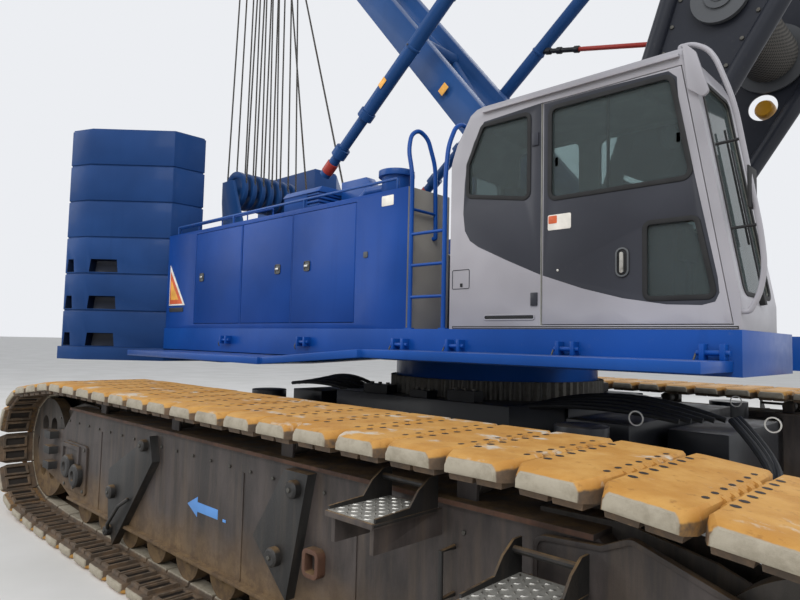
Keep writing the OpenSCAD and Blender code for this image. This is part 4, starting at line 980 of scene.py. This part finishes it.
def make_house_details():
    latch_z = 2.8
    for node, x in (("door_rear_right", -3.62), ("door_middle_right", -1.9), ("door_front_right", -1.36)):
        shape = Shape(wall(-1, HOUSE_Y, x, latch_z))
        pads(shape, (-0.045, -0.05, 0.045, 0.05, 0.012, 0.006, "trim"))
        shape.frame(rounded(-0.045, -0.05, 0.045, 0.05, 0.012), 0.01, 0.012, "iron")
        shape.box((-0.03, -0.012, 0.004), (0.03, 0.012, 0.022), "steel")
        shape.done(node + "_latch", node, 0.002, slot="house_paint")
    # Blank warning triangle, lamp and small plates
    shape = Shape(wall(-1, HOUSE_Y))
    for x, z, right, top, height, finish in ((-4.52, 2.44, -4.06, 3.02, 0.004, "label"),
                                             (-4.5, 2.46, -4.12, 2.93, 0.006, "orange"),
                                             (-4.47, 2.52, -4.24, 2.8, 0.008, "amber")):
        shape.prism([(x, z), (right, z), (x, top)], height, finish)
    pads(shape, (-4.5, 2.35, -4.1, 2.41, 0.01, 0.006, "vinyl"), (-0.22, 3.3, -0.06, 3.4, 0.01, 0.004, "label"),
         (-0.46, 2.82, -0.4, 2.88, 0.01, 0.008, "trim"))
    shape.done("house_signs", "upper", 0.001, slot="house_paint")
    # Brackets of the folding catwalk along the deck's edge
    shape = Shape()
    for side in (-1, 1):
        at = lambda x, out, z: (x, side * (DECK_Y + out), z)
        for x in (-2.87, -1.31, 0.12, 0.76, 1.8, 2.8):
            for x0 in (x - 0.075, x + 0.045):
                shape.box(at(x0, -0.02, 1.93), at(x0 + 0.03, 0.085, 2.03), "deck")
            shape.drum(at(x - 0.1, 0.055, 1.975), at(x + 0.1, 0.055, 1.975), 0.017, "deck", 14, 0.004)
            shape.tube([at(x - 0.1, 0.055, 1.975), at(x - 0.11, 0.07, 1.93), at(x - 0.105, 0.06, 1.895)],
                       0.007, "iron", 8)
    shape.done("catwalk_brackets", "upper", 0.003, slot="deck_paint")


def lozenges(shape, x0, x1, y0, y1, z, finish):
    """Raised lozenges of chequer plate on a level top, turned left and right in turn."""
    pitch, size, height = 0.045, 0.017, 0.004
    for i in range(int((x1 - x0) / pitch)):
        for j in range(int((y1 - y0) / pitch)):
            place = Matrix.Translation((x0 + pitch * (i + 0.5), y0 + pitch * (j + 0.5), z))
            turn = Matrix.Rotation(math.radians(45 if (i + j) % 2 else -45), 4, "Z")
            shape.prism([(-size, 0), (0, -size * 0.3), (size, 0), (0, size * 0.3)], height, finish, place @ turn, 0.3)


# Outlines in X and Z: cover over a driven end, and chain rail that closes the view through an end of the loop
COVER = [(2.62, 1.18), (2.92, 1.2), (3.04, 1.255), (3.4, 1.13), (3.75, 1.02), (4.0, 0.86), (4.07, 0.7),
         (4.0, 0.54), (3.75, 0.42), (2.62, 0.36)]
CHAIN_RAIL = [(2.55, 1.27), (2.95, 1.275), (3.3, 1.2), (3.6, 1.085), (3.9, 1.0), (4.06, 0.87), (4.12, 0.73),
              (4.06, 0.58), (3.88, 0.47), (3.3, 0.31), (2.55, 0.22)]
STEP_ARM = [(0, 0), (0.42, 0), (0.42, 0.018), (0.2, 0.03), (0.14, 0.1), (0.06, 0.15), (0, 0.15)]


def make_side(side):
    """What one side frame carries: plates, pins, bolts, chain rails and steps."""
    name = side_name(side)
    shape = Shape(wall(side, FRAME_Y))
    # Plate seams, adjuster cover with its bosses, pins, pipe and eye of the folded brackets
    for x in (-2.15, 0.3, 1.45):
        shape.box((x - 0.012, 0.3, 0), (x + 0.012, 1.08, 0.006), "frame")
    pads(shape, (-3.05, 0.42, -2.45, 0.9, 0.04, 0.022, "frame"))
    for x, z in ((-2.86, 0.66), (-2.62, 0.6)):
        shape.lathe([(0.115, 0), (0.115, 0.05), (0.095, 0.065), (0.05, 0.068), (0.045, 0.05), (0, 0.05)],
                    "black_plate", Matrix.Translation((x, z, 0.02)), 28)
    shape.bolts([(x, z, 0.022) for x in (-3.0, -2.75, -2.5) for z in (0.46, 0.86)], 0.018, "iron")
    for x, z, r in ((-1.69, 0.28, 0.045), (-1.66, 0.62, 0.06), (-1.06, 1.1, 0.05), (0.98, 1.1, 0.055),
                    (0.8, 0.66, 0.06)):
        shape.lathe([(r, 0), (r, 0.05), (r * 0.75, 0.062), (0, 0.062)], "black_plate",
                    Matrix.Translation((x, z, 0.06)), 20)
        shape.bolts([(x, z, 0.12)], 0.016, "iron")
    shape.tube([(-1.69, 0.28, 0.09), (-1.6, 0.36, 0.13), (-1.4, 0.55, 0.13), (-1.3, 0.62, 0.09)],
               0.016, "black_plate")
    shape.frame(rounded(1.06, 0.62, 1.18, 0.76, 0.03), 0.028, 0.06, "rust")
    # Cover over the driven end, with its hub
    cover = round_corners(COVER, 0.05)
    shape.prism(cover, 0.03, "frame")
    shape.frame(cover, 0.022, 0.04, "frame")
    shape.lathe([(0.26, 0.03), (0.26, 0.1), (0.22, 0.125), (0.1, 0.13), (0.09, 0.16), (0, 0.16)], "wheel",
                Matrix.Translation((3.75, 0.73, 0)), 32)
    shape.bolts([(x, z, 0.127) for x, z in circle(3.75, 0.73, 0.185, 12)], 0.018, "iron")
    # Blank arrow, grab handle and the bolts under the flange
    shape.prism([(-0.45, 0.735), (-0.3, 0.66), (-0.3, 0.7), (-0.01, 0.7), (-0.01, 0.77), (-0.3, 0.77),
                 (-0.3, 0.81)], 0.003, "arrow")
    shape.box((0.06, 0.7, 0), (0.1, 0.72, 0.004), "arrow")
    shape.tube([(2.15, 0.8, 0), (2.15, 0.8, 0.1), (2.15, 1.02, 0.1), (2.15, 1.02, 0)], 0.013, "black_plate")
    shape.bolts([(-3.25 + 0.26 * k, 1.1, 0.0) for k in range(25)], 0.012, "iron")
    shape.done("side_frame_details_" + name, "lower", 0.003, slot="frame_paint")
    rails = Shape()
    for end in (-1, 1):
        for y in (0.1, -0.12):
            rails.prism([(x * end, z) for x, z in CHAIN_RAIL], 0.02, "wheel", wall(side, TRACK_Y + y))
    rails.done("chain_rails_" + name, "lower", slot="track_steel")
    treads = Shape()
    y0, y1 = sorted((side * (FRAME_Y + 0.07), side * (FRAME_Y + 0.49)))
    mid = side * (FRAME_Y + 0.12)
    for x0, z in ((1.77, 1.205), (2.56, 1.025)):
        treads.box((x0 + 0.006, y0 + 0.004, z - 0.002), (x0 + 0.314, y1 - 0.004, z + 0.003), "zinc")
        lozenges(treads, x0 + 0.01, x0 + 0.31, y0, y1, z + 0.003, "steel")
        for x in (x0 + 0.004, x0 + 0.316):
            treads.tube([(x, y0, z - 0.01), (x, y1, z - 0.01)], 0.009, "black_plate", 8)
            treads.prism(STEP_ARM, 0.012, "black_plate", Matrix(
                ((0, 0, 1, x - 0.006), (side, 0, 0, side * (FRAME_Y + 0.06)), (0, 1, 0, z), (0, 0, 0, 1))))
        treads.tube([(x0, mid, z + 0.11), (x0 + 0.32, mid, z + 0.11)], 0.016, "black_plate")
    treads.done("step_treads_" + name, "lower", slot="frame_paint")


def make_undercarriage():
    for side in (-1, 1):
        make_side(side)
    # Hoses over the carbody, and from it to the side frames
    shape = Shape()
    for k in range(5):
        for end, reach, rise in ((1, 2.35 + 0.05 * k, 0.06), (-1, 2.35, 0.05)):
            shape.tube(sag((0.95 * end, -1.15 + 0.09 * k, 1.44), (reach * end, -1.0 + 0.1 * k, 1.46), -rise - 0.02 * k),
                       0.021, "rubber")
    for side in (-1, 1):
        for k in range(3):
            shape.tube(sag((2.75, side * (1.15 - 0.08 * k), 1.52), (3.05, side * 2.35, 1.12 + 0.05 * k), 0.12, 0.25),
                       0.024, "rubber")
        # Valve blocks, pipes and clamps
        for x, w, y, h in ((-0.55, 0.34, 1.24, 0.09), (0.05, 0.22, 1.25, 0.07), (0.55, 0.3, 1.24, 0.1)):
            y, top = side * y, CARBODY_TOP + h
            shape.box((x - w / 2, y - 0.07, CARBODY_TOP), (x + w / 2, y + 0.07, top), "carbody")
            for at in (x - w / 3, x, x + w / 3):
                shape.drum((at, y, top - 0.002), (at, y, top + 0.022), 0.02, "iron", 10)
        y = side * CARBODY_WALL
        for z in (1.02, 1.075, 1.13):
            shape.tube([(-1.0, y, z), (1.0, y, z)], 0.014, "carbody", 8)
        for x in (-0.8, 0.0, 0.8):
            shape.box((x - 0.02, y - 0.018 + side * 0.003, 0.99), (x + 0.02, y + 0.018 + side * 0.003, 1.16), "iron")
    shape.done("carbody_hoses", "lower", slot="carbody_paint")
    # Round marks
    shape = Shape()
    for side in (-1, 1):
        for x, y, z in ((2.112, 1.2, CARBODY_TOP), (2.891, 0.7, 1.47)):
            shape.frame(circle(0, 0, 0.052, 28), 0.01, 0.004, "label", wall(side, y, x, z))
    shape.done("carbody_marks", "lower", slot="carbody_paint")


def make_rails():
    """Ladders and the rail before the windscreen, bent smoothly, in place of the solids' straight runs."""
    x, y, deck = 0.172, 1.596, DECK_TOP
    shape = Shape()
    for side in (-1, 1):
        flip = lambda path: [(px, py * -side, pz) for px, py, pz in path]
        for path in ([(x, -y, deck), (x, -y, 3.56), (x - 0.055, -y, 3.8), (x - 0.07, -1.545, 3.96),
                      (x - 0.055, -1.46, 4.02), (x - 0.035, -1.35, 3.96), (x - 0.012, -1.26, 3.7),
                      (x - 0.01, -1.24, 3.0), (0.13, -1.24, 3.0)],
                     [(x + 0.4, -y, deck), (x + 0.4, -y, 3.48), (x + 0.39, -1.55, 3.76), (x + 0.39, -1.45, 3.96),
                      (x + 0.39, -1.33, 4.01), (x + 0.39, -1.22, 3.93), (x + 0.39, -1.16, 3.7),
                      (x + 0.39, -1.16, deck)]):
            shape.tube(eased(flip(path)), 0.021, "deck", 14)
            fx, fy, fz = flip(path)[0]
            shape.box((fx - 0.04, fy - 0.022, fz), (fx + 0.04, fy + 0.022, fz + 0.01), "deck")
        for z in (deck + 0.29, deck + 0.58, deck + 0.87):
            shape.tube(flip([(x, -y, z), (x + 0.4, -y, z)]), 0.015, "deck", 12)
        shape.tube(flip([(x, -y, 3.23), (x - 0.01, -1.241, 3.23)]), 0.014, "deck", 12)
    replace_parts(shape.done("ladder_rails", "upper", slot="deck_paint"), "ladders")
    # Gutter, visor fin, rail before the windscreen and its clips, mirror
    top, brow, nose = 3.985, 2.67, 2.945
    shape = Shape()
    shape.box((1.0, -CAB_Y - 0.028, top - 0.06), (brow - 0.075, -CAB_Y + 0.004, top - 0.038), "cab")
    fin = [(-0.05, 0), (-0.038, 0.02), (0.032, -0.058), (0.078, -0.218), (0.112, -0.341), (0.075, -0.37),
           (-0.018, -0.293)]
    shape.prism(round_corners([(brow + a, top + b) for a, b in fin], 0.03), 0.024, "cab", wall(-1, CAB_Y))
    rail = [(brow - 0.08, top), (brow - 0.08, top + 0.023), (brow, top + 0.018), (brow + 0.09, top - 0.04),
            (brow + 0.142, top - 0.125), (brow + 0.246, top - 0.432), (nose + 0.11, 2.714), (nose + 0.128, 2.5),
            (nose + 0.1, 2.34), (nose + 0.045, 2.232), (nose, 2.232)]
    shape.tube(eased([(a, -CAB_Y + 0.025, b) for a, b in rail], 0.14), 0.017, "cab", 14)
    for z, a in ((3.3, 2.945), (2.75, 3.03)):
        shape.tube([(a - 0.14, -CAB_Y + 0.02, z), (a + 0.01, -CAB_Y + 0.025, z + 0.01)], 0.01, "rubber")
    shape.prism(rounded(3.0, 2.86, 3.012, 3.12, 0.005), 0.16, "rubber", wall(-1, 1.5))
    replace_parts(shape.done("cab_rail_and_trim", "upper", 0.002, slot="cab_paint"), "cab_fittings")


def make_boom_details():
    """Red ends and clamps of the backstops, blank plates on them and the mast, bolts and cap of the boom's plate."""
    shape, plates, bolts = Shape(), Shape(), Shape()
    turn = BOOM.to_3x3()
    lean = math.atan2(half_w(4.1) - half_w(0.65), 4.1 - 0.65)
    for side in (-1, 1):
        tip = Vector((-1.99, side * 0.88, 4.06))
        top = BOOM @ Vector((-half_d(5.4) - 0.453, 0, 5.4))
        top.y = side * 0.88
        along = (top - tip).normalized()
        start = tip.lerp(top, 0.41)
        rod = BOOM @ Vector((-half_d(2.5) - 0.085, side * half_w(2.5), 2.5))
        for a, b, r, finish in ((0.26, 0.8, 0.027, "red"), (0.03, 0.26, 0.029, "carbody"),
                                (0.8, 0.985, 0.029, "carbody")):
            shape.drum(start.lerp(rod, a), start.lerp(rod, b), r, finish, 16)
        for t in (0.05, 0.12, 0.23, 0.8, 0.93):
            shape.drum(start.lerp(rod, t), start.lerp(rod, t + 0.03), 0.042, "carbody", 14, 0.005)
        shape.drum(tip + along * 0.05, tip + along * 0.2, 0.0735, "red", 24, 0.004)
        for t in (0.3, 0.405, 0.62, 0.84):
            a = tip.lerp(top, t)
            shape.drum(a, a + along * 0.035, 0.088, "mast", 24, 0.006)
            shape.bolts([a + along * 0.0175 + Vector((0, side * 0.088, 0))], 0.014, "iron")
        shape.box((-0.06, -0.035, 0.081), (0.06, 0.035, 0.084), "amber",
                  axes_at(tip.lerp(top, 0.222), along, (0, -1, 0)))
        for z in (2.87, 6.4):
            plates.box((-0.07, side * 0.615, z - 0.045), (0.05, side * 0.621, z + 0.045), "amber", MAST)
        for t, face in [(0.85 + 0.21 * k, face) for k in range(14) for face in (-1, 1)]:
            if face > 0 and t > 3.1:        # the front row is shorter
                continue
            spot = BOOM @ Vector((face * (half_d(t) - 0.1), side * (half_w(t) + 0.01), t))
            out = turn @ Vector((0, side * math.cos(lean), -math.sin(lean)))
            bolts.bolts([(0, 0, 0)], 0.017, "iron", axes_at(spot, turn @ Vector((1, 0, 0)), out))
    cap = BOOM @ Vector((0.13, 0.655 + 0.06, 1.95))
    bolts.lathe([(0, -0.12), (0.085, -0.12), (0.085, -0.03), (0.07, 0), (0, 0)], "yellow",
                axes_at(cap, (1, 0, 0), (0, -1, 0)))
    shape.done("backstop_details", "boom", 0.002, slot="gantry_paint")
    plates.done("mast_plates", "mast", 0.001, slot="gantry_paint")
    bolts.done("boom_plate_details", "boom", 0.001, slot="boom_paint")


def wound_drum(body, centre, radius, half):
    """Two layers of rope wound on a drum: one round bulge a turn, with a groove between."""
    turns = int(half * 2 / (ROPE_R * 2.1))
    profile = [(radius - 0.004, -half)]
    for k in range(turns):
        y = -half + (k + 0.5) * 2 * half / turns
        profile += [(radius + ROPE_R * (2.5 + math.cos(a)), y + ROPE_R * math.sin(a))
                    for a in map(math.radians, (-60, -25, 0, 25, 60))]
    profile.append((radius - 0.004, half))
    shape = Shape()
    shape.lathe(profile, "rope", axes_at(centre, (1, 0, 0), (0, 1, 0)), 40)
    shape.done(body + "_rope", body, sharp=70, slot="winch_steel")


def make_rigging():
    for body, x in WINCHES.items():
        wound_drum(body, (x, 0, WINCH_Z), WINCH_R, 0.436)
    wound_drum("boom_drum", BOOM @ Vector((0, 0, 2.38)), 0.19, half_w(2.04) - 0.07)
    # Hoist ropes from two winches over the mast's head to the boom's head, and the derricking rope to the gantry
    boom_head = BOOM @ Vector((-0.42, 0, BASE_L + TIP_L - 0.25))
    mast_head = MAST @ Vector((0, 0, MAST_L))
    for k, (winch, y, over) in enumerate((("drum_rear", -0.22, -0.05), ("drum_middle", -0.36, -0.16))):
        rope("hoist_rope_%d" % (k + 1), Vector((WINCHES[winch] - 0.2, y, WINCH_Z + 0.275)),
             mast_head + Vector((0.25, over, 0.05)), ("upper", "mast"))
        # The mast keeps its angle to the boom, so this part of the rope rides on the boom
        rope("boom_rope_%d" % (k + 1), mast_head + Vector((0.02, over, 0.27)), boom_head + Vector((0, over, 0)), "boom")
    rope("derrick_rope", (WINCHES["drum_front"], 0.3, WINCH_Z + 0.33), (-4.42, 0.42, 4.35), "upper")


def make_roof_details():
    """Thin rail along the roof's edge, lifting eyes, a ring of bolts, and louvres in the houses' rear ends."""
    edge_y, roof_z, rail_z = -1.52, 3.46, 3.55
    shape = Shape()
    shape.tube([(-4.4, edge_y, roof_z), (-4.4, edge_y, rail_z), (-2.15, edge_y, rail_z), (-2.15, edge_y, roof_z)],
               0.01, "deck", 8)
    for x in (-3.9, -3.3, -2.7):
        shape.drum((x, edge_y, roof_z - 0.01), (x, edge_y, rail_z), 0.008, "deck", 8)
    louvres = Shape()
    for side in (-1, 1):
        for x in (-4.2, -2.4, -0.35):
            loop = ((-0.05, 3.45), (-0.045, 3.5), (0, 3.525), (0.045, 3.5), (0.05, 3.45))
            shape.tube([(x + dx, side * 1.28, z) for dx, z in loop], 0.01, "deck", 8)
        for k in range(11):
            z = 2.45 + 0.06 * k
            louvres.box((-4.712, side * 1.15, z), (-4.7, side * 1.5, z + 0.028), "house")
    shape.bolts([(x, y, 3.718) for x, y in circle(-0.32, -1.3, 0.13, 8)], 0.014, "iron", height=0.01)
    shape.done("roof_details", "upper", 0.002, slot="house_paint")
    louvres.done("rear_louvres", "upper", 0.002, slot="house_paint")


for make in (make_camera, make_light, make_floor, make_tracks, make_ropes, make_edges, make_cab_trim,
             make_house_details, make_undercarriage, make_rigging, make_boom_details, make_roof_details, make_rails):
    make()
